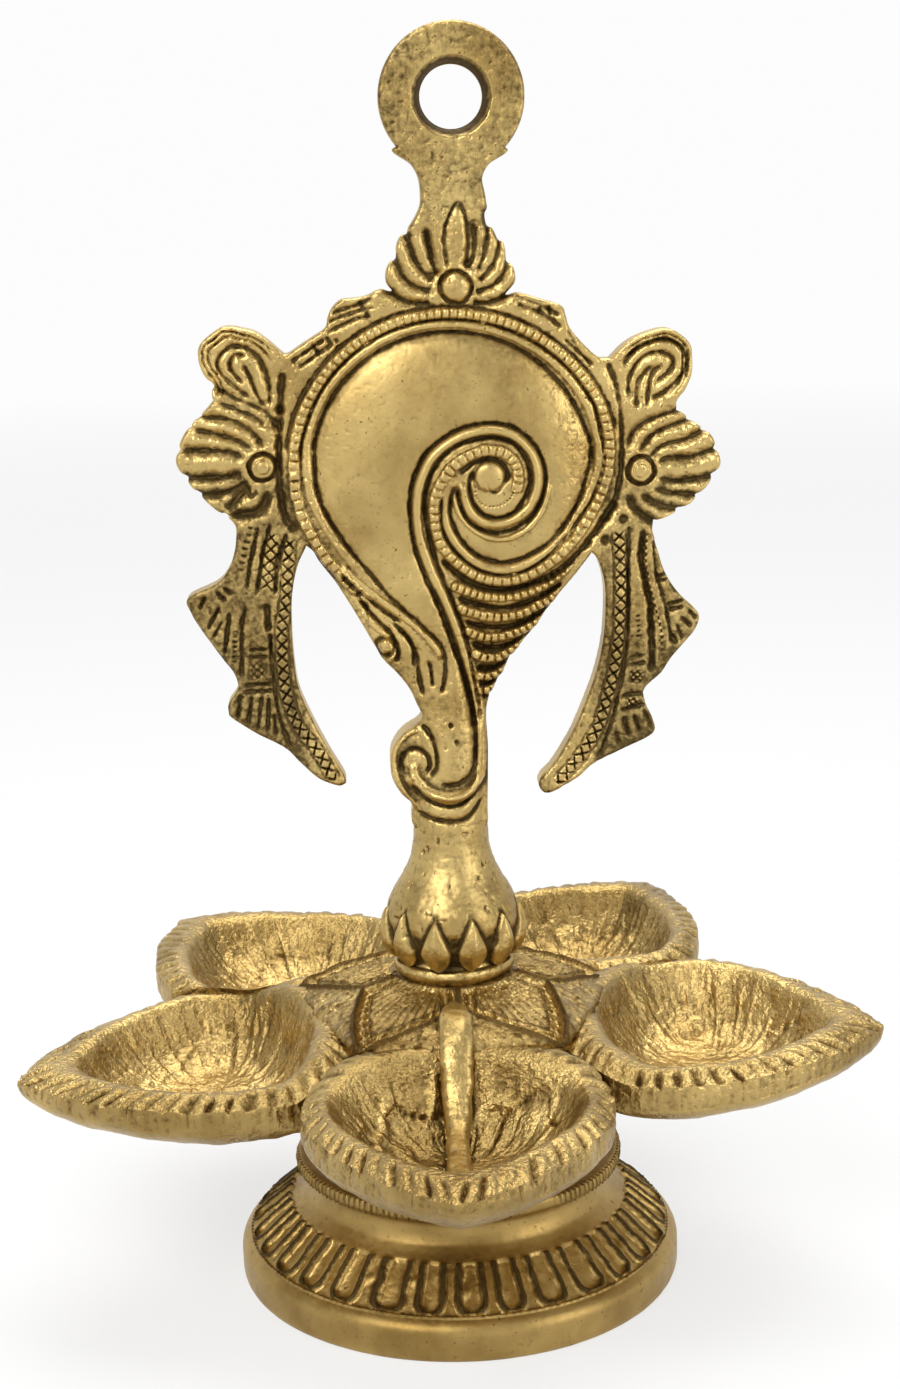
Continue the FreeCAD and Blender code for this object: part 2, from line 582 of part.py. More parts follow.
def ribbon(shares, start_half, end_half, thickness, samples=24):
    """Raised ribbon of a tapering width along a smooth middle line."""
    line = Part.BSplineCurve()
    line.interpolate([on_plate(across, up) for across, up in shares])
    unit = size("aureole_radius")
    left, right = [], []
    for index in range(samples + 1):
        share = index / samples
        along = line.FirstParameter + (line.LastParameter - line.FirstParameter) * share
        side = line.tangent(along)[0].cross(Vector(0, 1, 0))
        half = unit * (start_half + (end_half - start_half) * share)
        left.append(line.value(along) + side * half)
        right.append(line.value(along) - side * half)
    return slab([smooth(left), Part.makeLine(left[-1], right[-1]), smooth(right[::-1]),
                 Part.makeLine(right[0], left[0])], thickness)


def petal(centre, angle, start, length, half, thickness):
    """Pointed petal from a flower's centre; the angle is from straight up, in degrees."""
    turn_angle = math.radians(angle)
    along = Vector(math.sin(turn_angle), 0, math.cos(turn_angle))
    side = Vector(along.z, 0, -along.x)
    unit = size("aureole_radius")
    middle = on_plate(*centre)
    root = middle + along * (start * unit)
    tip = middle + along * ((start + length) * unit)
    belly = middle + along * ((start + 0.55 * length) * unit)
    edges = [Part.Arc(root, belly + side * (half * unit), tip).toShape(),
             Part.Arc(tip, belly - side * (half * unit), root).toShape()]
    return slab(edges, thickness)


def dome():
    """Both faces of the swelling shell: one lens turned about the plate's normal."""
    edge = 0.85 * size("aureole_radius")
    foot, crown = size("plate_thickness") / 2, size("dome_thickness") / 2
    rise = crown - foot
    ball = (edge ** 2 + rise ** 2) / (2 * rise)
    caps = []
    for sign in (1, -1):
        sphere = Part.makeSphere(ball, Vector(0, sign * (crown - ball), 0))
        caps.append(sphere)
    return caps[0].common(caps[1]).common(disc(0, 0, edge, 2 * crown))


def plate_shape():
    """The flat of the finial with its raised work, upright, about the aureole's centre."""
    unit = size("aureole_radius")
    plain, petal_high = size("plate_thickness"), size("petal_thickness")
    ridge, sash = size("ridge_thickness"), size("sash_thickness")
    pieces = [
        outline_slab(BODY_SHARES, plain), outline_slab(CREST_SHARES, plain),
        corner_slab(LEFT_SHOULDER_SHARES, plain), corner_slab(RIGHT_SHOULDER_SHARES, plain),
        outline_slab(LEFT_WING_SHARES, plain), outline_slab(RIGHT_WING_SHARES, plain),
        disc(0, RING_UP_SHARE, size("ring_radius"), size("ring_thickness")),
        disc(0, 0, unit, plain), band(1.0, 0.93, size("bead_thickness")),
        band(0.905, 0.865, size("band_thickness")), dome(),
        ribbon(SPIRAL_SHARES, 0.075, 0.05, ridge),
        disc(0.241, -0.071, 0.13 * unit, ridge),
        ribbon(HOOK_SHARES, 0.06, 0.04, size("body_thickness")),
        ribbon(LEAF_SCROLL_SHARES, 0.10, 0.05, size("body_thickness")),
        ribbon(LEFT_LOOP_SHARES, 0.06, 0.04, petal_high),
        ribbon(RIGHT_LOOP_SHARES, 0.06, 0.04, petal_high),
        ribbon(LEFT_SASH_SHARES, 0.09, 0.04, sash), ribbon(RIGHT_SASH_SHARES, 0.09, 0.04, sash),
        ribbon(LEFT_TAIL_SHARES, 0.08, 0.10, petal_high),
        ribbon(RIGHT_TAIL_SHARES, 0.08, 0.10, petal_high),
    ]
    for rib in RIB_SHARES:
        pieces.append(ribbon(rib, 0.035, 0.035, size("body_thickness"), 8))
    for centre, sign in ((LEFT_FLOWER_SHARES, -1), (RIGHT_FLOWER_SHARES, 1)):
        pieces.append(disc(centre[0], centre[1], 0.09 * unit, size("knob_thickness")))
        for angle in WING_PETAL_ANGLES:
            pieces.append(petal(centre, sign * 90 + angle, 0.07, 0.36, 0.07, petal_high))
    pieces.append(disc(*CREST_FLOWER_SHARES, 0.09 * unit, size("knob_thickness")))
    pieces.append(petal(CREST_FLOWER_SHARES, 0, 0.07, 0.42, 0.07, petal_high))
    for angle in CREST_PETAL_ANGLES:
        pieces.append(petal(CREST_FLOWER_SHARES, angle, 0.07, 0.26, 0.05, petal_high))
    return pieces[0].multiFuse(pieces[1:])


def ring_hole():
    """Bore through the hanging ring, bevelled at both faces."""
    radius, bevel, deep = size("ring_hole_radius"), size("ring_bevel"), size("ring_thickness")
    bore = disc(0, RING_UP_SHARE, radius, deep + 2 * size("overrun"))
    middle = on_plate(0, RING_UP_SHARE)
    for sign in (1, -1):
        inner = middle + Vector(0, sign * (deep / 2 - bevel), 0)
        bore = bore.fuse(Part.makeCone(radius, radius + 2 * bevel, 2 * bevel, inner, Vector(0, sign, 0)))
    return bore


def turned_solid(profile):
    """Solid of a closed profile of edges in the XZ plane, turned about the axis."""
    return Part.Face(Part.Wire(profile)).revolve(Vector(0, 0, 0), Vector(0, 0, 1), 360)


def bulb_shape(raised):
    """Base ring, bulb and neck, its height from the seat; raised pushes the bulb's skin out."""
    ring, lip = size("bulb_ring_radius"), size("bulb_ring_height")
    radius, tall = size("bulb_radius") + raised, size("neck_height")
    skin = [Vector(radius * across, 0, tall * up) for across, up in BULB_SHARES]
    low = Vector(0, 0, 0)
    corner, shoulder = Vector(ring, 0, 0), Vector(ring, 0, lip)
    top = Vector(0, 0, skin[-1].z)
    profile = [Part.makeLine(low, corner), Part.makeLine(corner, shoulder),
               Part.makeLine(shoulder, skin[0]), smooth(skin), Part.makeLine(skin[-1], top),
               Part.makeLine(top, low)]
    return turned_solid(profile)


def sepals():
    """Ring of pointed petals that stand proud of the bulb."""
    half, tall, reach = size("sepal_width") / 2, size("neck_height"), 2 * size("bulb_radius")
    (low, _), (shoulder, _), (tip, _) = SEPAL_SHARES
    corners = [Vector(0, -half * 0.6, tall * low), Vector(0, half * 0.6, tall * low),
               Vector(0, half, tall * shoulder), Vector(0, 0, tall * tip), Vector(0, -half, tall * shoulder)]
    blade = Part.Face(Part.makePolygon(corners + corners[:1])).extrude(Vector(reach, 0, 0))
    skin = bulb_shape(size("sepal_raise"))
    ring = around(blade, int(size("sepals")))
    return skin.common(ring[0].multiFuse(ring[1:]))


def make_finial():
    lean = Rotation(Vector(0, 1, 0), PLATE_LEAN_DEGREES)
    seat, pivot = total(SEAT), total("neck_height + pivot_above_neck")
    plate = plate_shape().cut(ring_hole())
    plate.translate(on_plate(0, AUREOLE_UP_SHARE))
    plate.Placement = Placement(Vector(0, 0, pivot), lean).multiply(plate.Placement)
    bulb = bulb_shape(0).fuse(sepals())
    whole = plate.fuse(bulb)
    socket = size("stud_radius") + size("thread_clearance")
    whole = whole.cut(Part.makeCylinder(socket, size("stud_socket") + size("thread_clearance")))
    finial = shaped("conch_finial", largest(whole.removeSplitter()))
    finial.Placement = Placement(Vector(0, 0, seat), Rotation()).multiply(finial.Placement)
    return finial


# Stud, washers and nut under the foot's web
def make_fasteners():
    below = "washer_thickness + lock_thickness + nut_height + stud_tail"
    through = "foot_web + boss_rise + stem_rise + lotus_edge + lotus_rise"
    bore = "stud_radius + stud_clearance"
    stud = cylinder("tie_stud", "stud_radius", below + " + " + through + " + stud_socket",
                    WEB + " - " + below.replace("+", "-"))
    washer = cut("washer", cylinder("washer_blank", "washer_radius", "washer_thickness",
                                    WEB + " - washer_thickness"),
                 cylinder("washer_hole", bore, "washer_thickness + 2 * overrun",
                          WEB + " - washer_thickness - overrun"))
    lock_low = WEB + " - washer_thickness - lock_thickness"
    lock_ring = cut("lock_ring", cylinder("lock_blank", "lock_radius", "lock_thickness", lock_low),
                    cylinder("lock_hole", bore, "lock_thickness + 2 * overrun", lock_low + " - overrun"))
    slit = doc.addObject("Part::Box", "lock_slit_cut")
    slit.setExpression("Length", formula("lock_radius + overrun"))
    slit.setExpression("Width", formula("lock_slit"))
    slit.setExpression("Height", formula("lock_thickness + 2 * overrun"))
    slit.setExpression("Placement.Base.y", formula("-0.5 * lock_slit"))
    slit.setExpression("Placement.Base.z", formula(lock_low + " - overrun"))
    lock_washer = cut("lock_washer", lock_ring, slit)
    nut_low = lock_low + " - nut_height"
    blank = doc.addObject("Part::Prism", "nut_blank")
    blank.Polygon = 6
    blank.setExpression("Circumradius", formula("nut_radius"))
    blank.setExpression("Height", formula("nut_height"))
    blank.setExpression("Placement.Base.z", formula(nut_low))
    nut = cut("hex_nut", blank, cylinder("nut_hole", "stud_radius + thread_clearance",
                                         "nut_height + 2 * overrun", nut_low + " - overrun"))
    return [stud, washer, lock_washer, nut]


def check_and_write(nodes):
    """Refuse a failed object or a shape that is null or invalid, then write each node."""
    doc.recompute()
    for item in doc.Objects:
        if "Invalid" in item.State or "Error" in item.State:
            raise RuntimeError("%s failed: %s" % (item.Name, item.State))
    for node in nodes:
        if node.Shape.isNull() or not node.Shape.isValid():
            raise RuntimeError("%s has no valid shape" % node.Label)
    os.makedirs("parts", exist_ok=True)
    for node in nodes:
        node.Shape.exportStep("parts/%s.step" % node.Label)
        box = node.Shape.BoundBox
        print("%-16s %2d solid(s) %9.0f mm3  x %.1f..%.1f y %.1f..%.1f z %.1f..%.1f" % (
            node.Label, len(node.Shape.Solids), node.Shape.Volume,
            box.XMin, box.XMax, box.YMin, box.YMax, box.ZMin, box.ZMax))


foot_node = make_foot()
hub_node = make_hub()
doc.recompute()
cup_nodes = make_cups(hub_node)
finial_node = make_finial()
fastener_nodes = make_fasteners()
check_and_write([foot_node, hub_node] + cup_nodes + [finial_node] + fastener_nodes)
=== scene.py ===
import math

import bpy
import numpy as np
from mathutils import Matrix


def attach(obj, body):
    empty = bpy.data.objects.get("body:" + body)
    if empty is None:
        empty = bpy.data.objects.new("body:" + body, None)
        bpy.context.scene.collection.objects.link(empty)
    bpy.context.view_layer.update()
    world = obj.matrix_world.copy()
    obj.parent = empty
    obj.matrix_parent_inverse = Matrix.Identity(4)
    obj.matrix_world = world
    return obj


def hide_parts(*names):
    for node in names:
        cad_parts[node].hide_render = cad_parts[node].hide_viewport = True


# Conch oil lamp: cast finial, lotus hub with five leaf cups, and turned foot, in aged brass.
# Millimetres, +Z up, front of the lamp towards -Y. Photograph places are in pixels of 900 x 1389.

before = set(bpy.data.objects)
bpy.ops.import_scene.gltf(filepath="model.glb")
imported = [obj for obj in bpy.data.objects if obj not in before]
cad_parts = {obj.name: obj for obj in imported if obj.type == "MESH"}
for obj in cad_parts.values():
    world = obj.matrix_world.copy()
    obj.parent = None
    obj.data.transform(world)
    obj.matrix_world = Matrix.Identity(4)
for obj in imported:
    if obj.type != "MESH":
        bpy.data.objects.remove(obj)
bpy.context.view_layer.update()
MM = 0.001

# Camera, matched to the photograph
PHOTO_WIDE, PHOTO_TALL = 900, 1389
CAMERA_PLACE = np.array([-18.7, -439.4, 221.6])
CAMERA_YAW, CAMERA_TILT, CAMERA_ROLL = 2.5, 12.88, 1.30
SENSOR_WIDE, LENS = 36.0, 90.8
FOCAL = LENS / SENSOR_WIDE * PHOTO_WIDE

# Millimetres of the solid model: heights on the axis, the point about which the plate leans,
# the radius of its aureole, and its hanging ring
PAD, SEAT, LOTUS_TOP = 30.0, 64.0, 58.6
PIVOT, LEAN = 108.0, math.radians(1.4)
UNIT = 30.5
AUREOLE_UP = 1.925 * UNIT
RING_UP = AUREOLE_UP + 2.272 * UNIT
AUREOLE, RING = (0.0, AUREOLE_UP), (0.0, RING_UP)
RING_RADIUS, RING_HOLE = 13.75, 5.9
# Half thicknesses of the wings and the ring, and the round trunk's radius
WING_HALF, RING_HALF, TRUNK_RADIUS = 3.1, 3.5, 7.3
# Level of the wings' face above the plate's middle plane, for places read from the photograph
WING_LEVEL = 4
# Reach of the plate's grid, and the levels of its side wall as shares of the face's
PLATE_ACROSS, PLATE_UP = (-54.5, 56.0), (-15.6, 143.5)
WALL_LEVELS = (0.78, 0.5, 0.22, 0.0)
# Cups: name, azimuth, tilt and roll in degrees, drop of the rim, and shares of the full length and width
CUPS = (
    ("front_cup", -92.3, 0.0, 0.0, 10.0, 0.965, 0.98),
    ("right_cup", -12.0, 0.5, 3.0, 8.0, 0.985, 1.05),
    ("back_right_cup", 56.0, 1.0, 0.0, 6.0, 1.0, 1.02),
    ("back_left_cup", 132.0, 0.0, 0.0, 8.0, 1.03, 1.08),
    ("left_cup", 192.0, -2.0, -2.0, 9.5, 1.02, 1.0),
)


# Camera
def camera_axes():
    """Right, up and forward of the camera as unit vectors."""
    yaw, tilt, roll = (math.radians(angle) for angle in (CAMERA_YAW, CAMERA_TILT, CAMERA_ROLL))
    forward = np.array([math.sin(yaw) * math.cos(tilt), math.cos(yaw) * math.cos(tilt), -math.sin(tilt)])
    level = np.array([math.cos(yaw), -math.sin(yaw), 0.0])
    upright = np.cross(level, forward)
    right = math.cos(roll) * level - math.sin(roll) * upright
    up = math.sin(roll) * level + math.cos(roll) * upright
    return right, up, forward


def make_camera():
    """Camera that sees what the photograph's camera saw."""
    right, up, forward = camera_axes()
    data = bpy.data.cameras.new("camera")
    data.sensor_fit = "HORIZONTAL"
    data.sensor_width = SENSOR_WIDE
    data.lens = LENS
    data.clip_start, data.clip_end = 0.01, 20.0
    camera = bpy.data.objects.new("camera", data)
    rows = [[right[k], up[k], -forward[k], CAMERA_PLACE[k] * MM] for k in range(3)]
    camera.matrix_world = Matrix(rows + [[0, 0, 0, 1]])
    bpy.context.scene.collection.objects.link(camera)
    bpy.context.scene.camera = camera


def on_plate(pixels, level=5.0):
    """Photograph pixels to (across, up) on the plate from its pivot.

    The level is how far the point lies in front of the plate's middle plane.
    """
    right, up, forward = camera_axes()
    pixels = np.atleast_2d(np.asarray(pixels, float))
    rays = (pixels[:, :1] - PHOTO_WIDE / 2) * right - (pixels[:, 1:] - PHOTO_TALL / 2) * up
    rays = rays / FOCAL + forward
    reach = (-level - CAMERA_PLACE[1]) / rays[:, 1]
    across = CAMERA_PLACE[0] + reach * rays[:, 0]
    height = CAMERA_PLACE[2] + reach * rays[:, 2] - PIVOT
    return np.stack([across * math.cos(LEAN) - height * math.sin(LEAN),
                     across * math.sin(LEAN) + height * math.cos(LEAN)], -1)


# Lines, noise and falloffs
def spline(points, spacing=0.5, closed=False):
    """Smooth line through points, in fine steps."""
    points = np.asarray(points, float)
    if closed:
        padded = np.vstack([points[-1:], points, points[:2]])
    else:
        padded = np.vstack([2 * points[:1] - points[1:2], points, 2 * points[-1:] - points[-2:-1]])
    runs = []
    for a, b, c, d in zip(padded, padded[1:], padded[2:], padded[3:]):
        count = max(2, int(np.linalg.norm(c - b) / spacing) + 1)
        t = np.arange(count)[:, None] / count
        runs.append(0.5 * (2 * b + (c - a) * t + (2 * a - 5 * b + 4 * c - d) * t ** 2
                           + (3 * b - a - 3 * c + d) * t ** 3))
    runs.append(padded[-2:-1])
    return np.vstack(runs)


LATTICE_SIZE = 48
LATTICE = np.random.default_rng(7).random((LATTICE_SIZE,) * 3)


def noise(points, cell, shift=0.0):
    """Smooth value noise from -1 to 1 at points in millimetres; cell is one size or three.

    Each shift gives another pattern.
    """
    place = np.asarray(points, float) / np.asarray(cell, float) + shift * 7.31 + 1000.0
    low = np.floor(place).astype(int)
    part = place - low
    part = part * part * (3 - 2 * part)
    value = 0.0
    for corner in range(8):
        step = np.array([corner & 1, corner >> 1 & 1, corner >> 2 & 1])
        weight = np.prod(np.where(step, part, 1 - part), axis=-1)
        index = (low + step) % LATTICE_SIZE
        value = value + weight * LATTICE[index[..., 0], index[..., 1], index[..., 2]]
    return 2 * value - 1


def layers(points, *parts):
    """Sum of noises, each with its height, cell and shift."""
    return sum(height * noise(points, cell, shift) for height, cell, shift in parts)


def lot(number, row, column):
    """One random share for each whole number."""
    return LATTICE[number.astype(int) % LATTICE_SIZE, row, column]


def smoothstep(value, low, high):
    share = np.clip((value - low) / (high - low), 0, 1)
    return share * share * (3 - 2 * share)


def bell(offset, width):
    """1 on a line, falling off softly on both sides of it."""
    return np.exp(-(offset / width) ** 2)


def dome(offset, radius):
    """Half circle over a line, 0 beyond the radius."""
    return np.sqrt(np.clip(1 - (offset / radius) ** 2, 0, 1))


def fade(along, length, low, high):
    """Fade at both ends of a line."""
    return smoothstep(np.minimum(along, length - along), low, high)


def blur(field, spread, weight=None):
    """Gaussian blur of a grid, spread in cells, counting only where weight is set."""
    weight = np.ones_like(field) if weight is None else weight.astype(float)
    tall = np.fft.fftfreq(field.shape[0])[:, None]
    wide = np.fft.rfftfreq(field.shape[1])[None, :]
    kernel = np.exp(-2 * (math.pi * spread) ** 2 * (tall ** 2 + wide ** 2))
    top = np.fft.irfft2(np.fft.rfft2(field * weight) * kernel, field.shape)
    base = np.fft.irfft2(np.fft.rfft2(weight) * kernel, field.shape)
    return top / np.maximum(base, 1e-3)


# Meshes
def add_piece(name, points, faces, material, replaces=(), attributes=None, smooth=35.0):
    """Mesh object from millimetre points, riding on the lamp."""
    mesh = bpy.data.meshes.new(name)
    mesh.from_pydata((np.asarray(points) * MM).tolist(), [], [list(face) for face in faces])
    mesh.validate()
    for label, values in (attributes or {}).items():
        layer = mesh.attributes.new(label, "FLOAT", "POINT")
        layer.data.foreach_set("value", np.asarray(values, np.float32))
    mesh.shade_smooth()
    mesh.set_sharp_from_angle(angle=math.radians(smooth))
    mesh.materials.append(material)
    piece = bpy.data.objects.new(name, mesh)
    bpy.context.scene.collection.objects.link(piece)
    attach(piece, "root")
    if replaces:
        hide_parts(*replaces)
    return piece


def grid_faces(rows, columns, around=True, flip=False):
    """Quads of a grid of rows by columns, the columns closed in a ring if asked."""
    faces = []
    last = columns if around else columns - 1
    for row in range(rows - 1):
        for column in range(last):
            a, b = row * columns + column, row * columns + (column + 1) % columns
            face = (a, b, b + columns, a + columns)
            faces.append(face[::-1] if flip else face)
    return faces


def ring_grid(name, grid, material, replaces=(), attributes=None, caps=(True, True), flip=False,
              smooth=35.0):
    """Piece from a (rows, columns, 3) grid closed around, with its ends capped by one point each."""
    rows, columns = grid.shape[:2]
    points = list(grid.reshape(-1, 3))
    faces = grid_faces(rows, columns, True, flip)
    values = {label: list(np.asarray(field).reshape(-1)) for label, field in (attributes or {}).items()}
    for capped, row in zip(caps, (0, rows - 1)):
        if not capped:
            continue
        centre = len(points)
        points.append(grid[row].mean(axis=0))
        for label, field in values.items():
            field.append(float(np.mean(np.asarray(attributes[label])[row])))
        for column in range(columns):
            a, b = row * columns + column, row * columns + (column + 1) % columns
            face = (b, a, centre) if row == 0 else (a, b, centre)
            faces.append(face[::-1] if flip else face)
    return add_piece(name, points, faces, material, replaces, values, smooth)


def resample(profile, spacing):
    """Points along a profile of straight runs, about the spacing apart, corners kept."""
    out = []
    for a, b in zip(profile, profile[1:]):
        a, b = np.asarray(a, float), np.asarray(b, float)
        count = max(1, int(round(np.linalg.norm(b - a) / spacing)))
        out += [a + (b - a) * k / count for k in range(count)]
    out.append(np.asarray(profile[-1], float))
    return np.array(out)


def soften(profile, passes):
    """Round a fine profile's corners."""
    profile = profile.copy()
    for _ in range(passes):
        profile[1:-1] = (profile[:-2] + 2 * profile[1:-1] + profile[2:]) / 4
    return profile


def turned(profile, columns):
    """(rows, columns, 3) grid of a profile of (radius, height) about the axis, with its outward normals."""
    angle = np.linspace(0, 2 * math.pi, columns, endpoint=False)
    along = np.gradient(profile, axis=0)
    along /= np.maximum(np.linalg.norm(along, axis=1, keepdims=True), 1e-9)
    out = np.stack([along[:, 1], -along[:, 0]], -1)
    around = np.stack([np.cos(angle), np.sin(angle)], -1)
    made = []
    for pair in (profile, out):
        upright = np.repeat(pair[:, None, 1:], columns, 1)
        made.append(np.concatenate([pair[:, None, :1] * around[None], upright], -1))
    return *made, angle


# Materials
def srgb(red, green, blue):
    """Linear colour with alpha from screen values of 0 to 255."""
    linear = []
    for value in (red, green, blue):
        value /= 255
        linear.append(value / 12.92 if value <= 0.04045 else ((value + 0.055) / 1.055) ** 2.4)
    return (*linear, 1.0)


def node(tree, kind, **settings):
    """New node, with the settings that its kind has."""
    made = tree.nodes.new(kind)
    for key, value in settings.items():
        setattr(made, key, value)
    return made


def wire(tree, source, target):
    tree.links.new(source, target)
    return target


def noise_node(tree, place, scale, detail=4.0):
    """Noise from 0 to 1, its scale in cells to the metre."""
    made = node(tree, "ShaderNodeTexNoise")
    made.inputs["Scale"].default_value = scale
    made.inputs["Detail"].default_value = detail
    made.inputs["Roughness"].default_value = 0.55
    wire(tree, place, made.inputs["Vector"])
    return made.outputs["Fac"]


def remap(tree, source, low, high, start=0.0, end=1.0):
    made = node(tree, "ShaderNodeMapRange")
    for key, value in (("From Min", low), ("From Max", high), ("To Min", start), ("To Max", end)):
        made.inputs[key].default_value = value
    wire(tree, source, made.inputs["Value"])
    return made.outputs["Result"]


def combine(tree, kind, first, second):
    """Sum, product or the like of two sockets or numbers."""
    made = node(tree, "ShaderNodeMath", operation=kind)
    for slot, value in enumerate((first, second)):
        if isinstance(value, (int, float)):
            made.inputs[slot].default_value = value
        else:
            wire(tree, value, made.inputs[slot])
    return made.outputs["Value"]


def times(tree, first, second):
    return combine(tree, "MULTIPLY", first, second)


def plus(tree, first, second):
    return combine(tree, "ADD", first, second)


def blend_colour(tree, share, first, second):
    made = node(tree, "ShaderNodeMix", data_type="RGBA")
    wire(tree, share, made.inputs["Factor"])
    for socket, value in ((made.inputs[6], first), (made.inputs[7], second)):
        if isinstance(value, tuple):
            socket.default_value = value
        else:
            wire(tree, value, socket)
    return made.outputs[2]


def brass(name, plain, light, dark, rough, grain, pits, filed=0.0):
    """Aged brass: brown patina in the hollows, edges lighter from wear and a painted highlight, fine grain
    and casting pits.

    Grain is the height of the bump in millimetres, pits is how common they are, filed how strong
    the file marks are.
    """
    material = bpy.data.materials.new(name)
    material.use_nodes = True
    tree = material.node_tree
    shader = tree.nodes["Principled BSDF"]
    shader.inputs["Metallic"].default_value = 1.0
    place = node(tree, "ShaderNodeTexCoord").outputs["Object"]
    cavity = node(tree, "ShaderNodeAttribute", attribute_name="cavity").outputs["Fac"]
    polish = node(tree, "ShaderNodeAttribute", attribute_name="polish").outputs["Fac"]
    cloud = noise_node(tree, place, 55.0, 3.0)
    speckle = noise_node(tree, place, 1000.0, 2.0)
    fine = noise_node(tree, place, 3000.0, 2.0)
    patch = noise_node(tree, place, 260.0, 3.0)
    tone = blend_colour(tree, remap(tree, cloud, 0.35, 0.65), plain, light)
    tone = blend_colour(tree, remap(tree, patch, 0.55, 0.85, 0.0, 0.25), tone, dark)
    tone = blend_colour(tree, times(tree, polish, 0.12), tone, dark)
    spread = times(tree, combine(tree, "SUBTRACT", speckle, 0.5), 1.35)
    broken = plus(tree, cavity, spread)
    hollow = remap(tree, broken, -0.12, -0.80, 0.0, 0.85)
    # Raised edges are painted lighter: partly wear through the patina, partly a painted highlight
    worn = remap(tree, broken, 0.12, 0.7, 0.0, 0.6)
    tone = blend_colour(tree, worn, tone, light)
    peaks = plus(tree, speckle, times(tree, cloud, 0.18))
    pit = remap(tree, peaks, 0.83 - pits, 0.90 - pits)
    stain = combine(tree, "MAXIMUM", hollow, times(tree, pit, 0.7))
    tone = blend_colour(tree, stain, tone, dark)
    wire(tree, tone, shader.inputs["Base Color"])
    gloss = plus(tree, remap(tree, speckle, 0.3, 0.7, rough - 0.06, rough + 0.08), times(tree, hollow, 0.3))
    gloss = plus(tree, gloss, times(tree, polish, 0.06))
    wire(tree, gloss, shader.inputs["Roughness"])
    height = combine(tree, "SUBTRACT", speckle, times(tree, pit, 0.8))
    height = plus(tree, height, times(tree, fine, 0.12))
    if filed:
        stretch = node(tree, "ShaderNodeMapping")
        stretch.inputs["Scale"].default_value = (1.0, 1.0, 0.08)
        wire(tree, place, stretch.inputs["Vector"])
        lines = noise_node(tree, stretch.outputs["Vector"], 1500.0)
        height = plus(tree, height, times(tree, lines, filed))
    bump = node(tree, "ShaderNodeBump")
    bump.inputs["Strength"].default_value = 1.0
    wire(tree, remap(tree, polish, 0.0, 1.0, grain * MM, 0.08 * grain * MM), bump.inputs["Distance"])
    wire(tree, height, bump.inputs["Height"])
    wire(tree, bump.outputs["Normal"], shader.inputs["Normal"])
    return material


BRASS_DARK = srgb(58, 42, 20)
CAST = brass("cast_brass", srgb(170, 142, 85), srgb(212, 185, 120), BRASS_DARK, 0.37, 0.18, 0.06)
CUP = brass("cup_brass", srgb(153, 127, 75), srgb(197, 169, 108), srgb(84, 60, 26), 0.32, 0.42, 0.03, 0.35)
FOOT = brass("foot_brass", srgb(150, 122, 68), srgb(190, 160, 98), BRASS_DARK, 0.37, 0.12, 0.06)
TURNED = brass("turned_brass", srgb(166, 141, 91), srgb(200, 176, 124), BRASS_DARK, 0.30, 0.05, 0.0)
STEEL = brass("spring_steel", srgb(120, 120, 122), srgb(165, 165, 168), srgb(40, 38, 36), 0.32, 0.05, 0.0)

# Outline of the finial's plate, in shares of the aureole's radius from its centre;
# the shoulders are in photograph pixels
BODY = (
    (-0.90, -0.35), (-0.863, -0.551), (-0.726, -0.745), (-0.606, -0.94), (-0.492, -1.137),
    (-0.435, -1.235), (-0.339, -1.335), (-0.262, -1.435), (-0.216, -1.534), (-0.184, -1.634),
    (-0.307, -1.733), (-0.373, -1.832), (-0.386, -1.933), (-0.373, -2.034), (-0.315, -2.135),
    (-0.245, -2.21), (-0.243, -2.34), (-0.15, -2.42), (0.15, -2.42), (0.245, -2.36), (0.25, -2.20),
    (0.25, -1.84), (0.237, -1.638), (0.243, -1.538), (0.275, -1.439), (0.332, -1.341), (0.383, -1.242),
    (0.454, -1.144), (0.536, -1.046), (0.676, -0.851), (0.834, -0.657), (0.93, -0.50), (0.90, -0.35),
)
CREST = (
    (-0.335, 1.97), (-0.243, 1.863), (-0.201, 1.785), (-0.188, 1.683), (-0.195, 1.605), (-0.25, 1.502),
    (-0.324, 1.412), (-0.349, 1.321), (-0.399, 1.23), (-0.40, 1.138), (-0.344, 1.047), (-0.30, 0.90),
    (0.30, 0.90), (0.353, 1.046), (0.402, 1.138), (0.395, 1.23), (0.35, 1.321), (0.319, 1.412),
    (0.244, 1.503), (0.225, 1.606), (0.212, 1.684), (0.193, 1.786), (0.229, 1.864), (0.321, 1.971),
)
LEFT_SHOULDER = (
    (420, 316), (402, 292), (386, 289), (378.5, 290), (364.4, 296.6), (350, 298.8), (340.8, 299.9),
    (332, 307.9), (327.4, 318), (325, 328.3), (312.5, 337.2), (300, 345.5), (288.9, 353.5), (278, 360),
    (292, 400), (330, 380), (380, 335),
)
RIGHT_SHOULDER = (
    (490, 316), (500, 295), (511, 293), (520.1, 293), (541.4, 299.4), (561, 305.5), (565.4, 315),
    (569.7, 327.8), (583.8, 344.3), (599, 357.6), (612, 362), (606, 402), (560, 376), (520, 340),
)
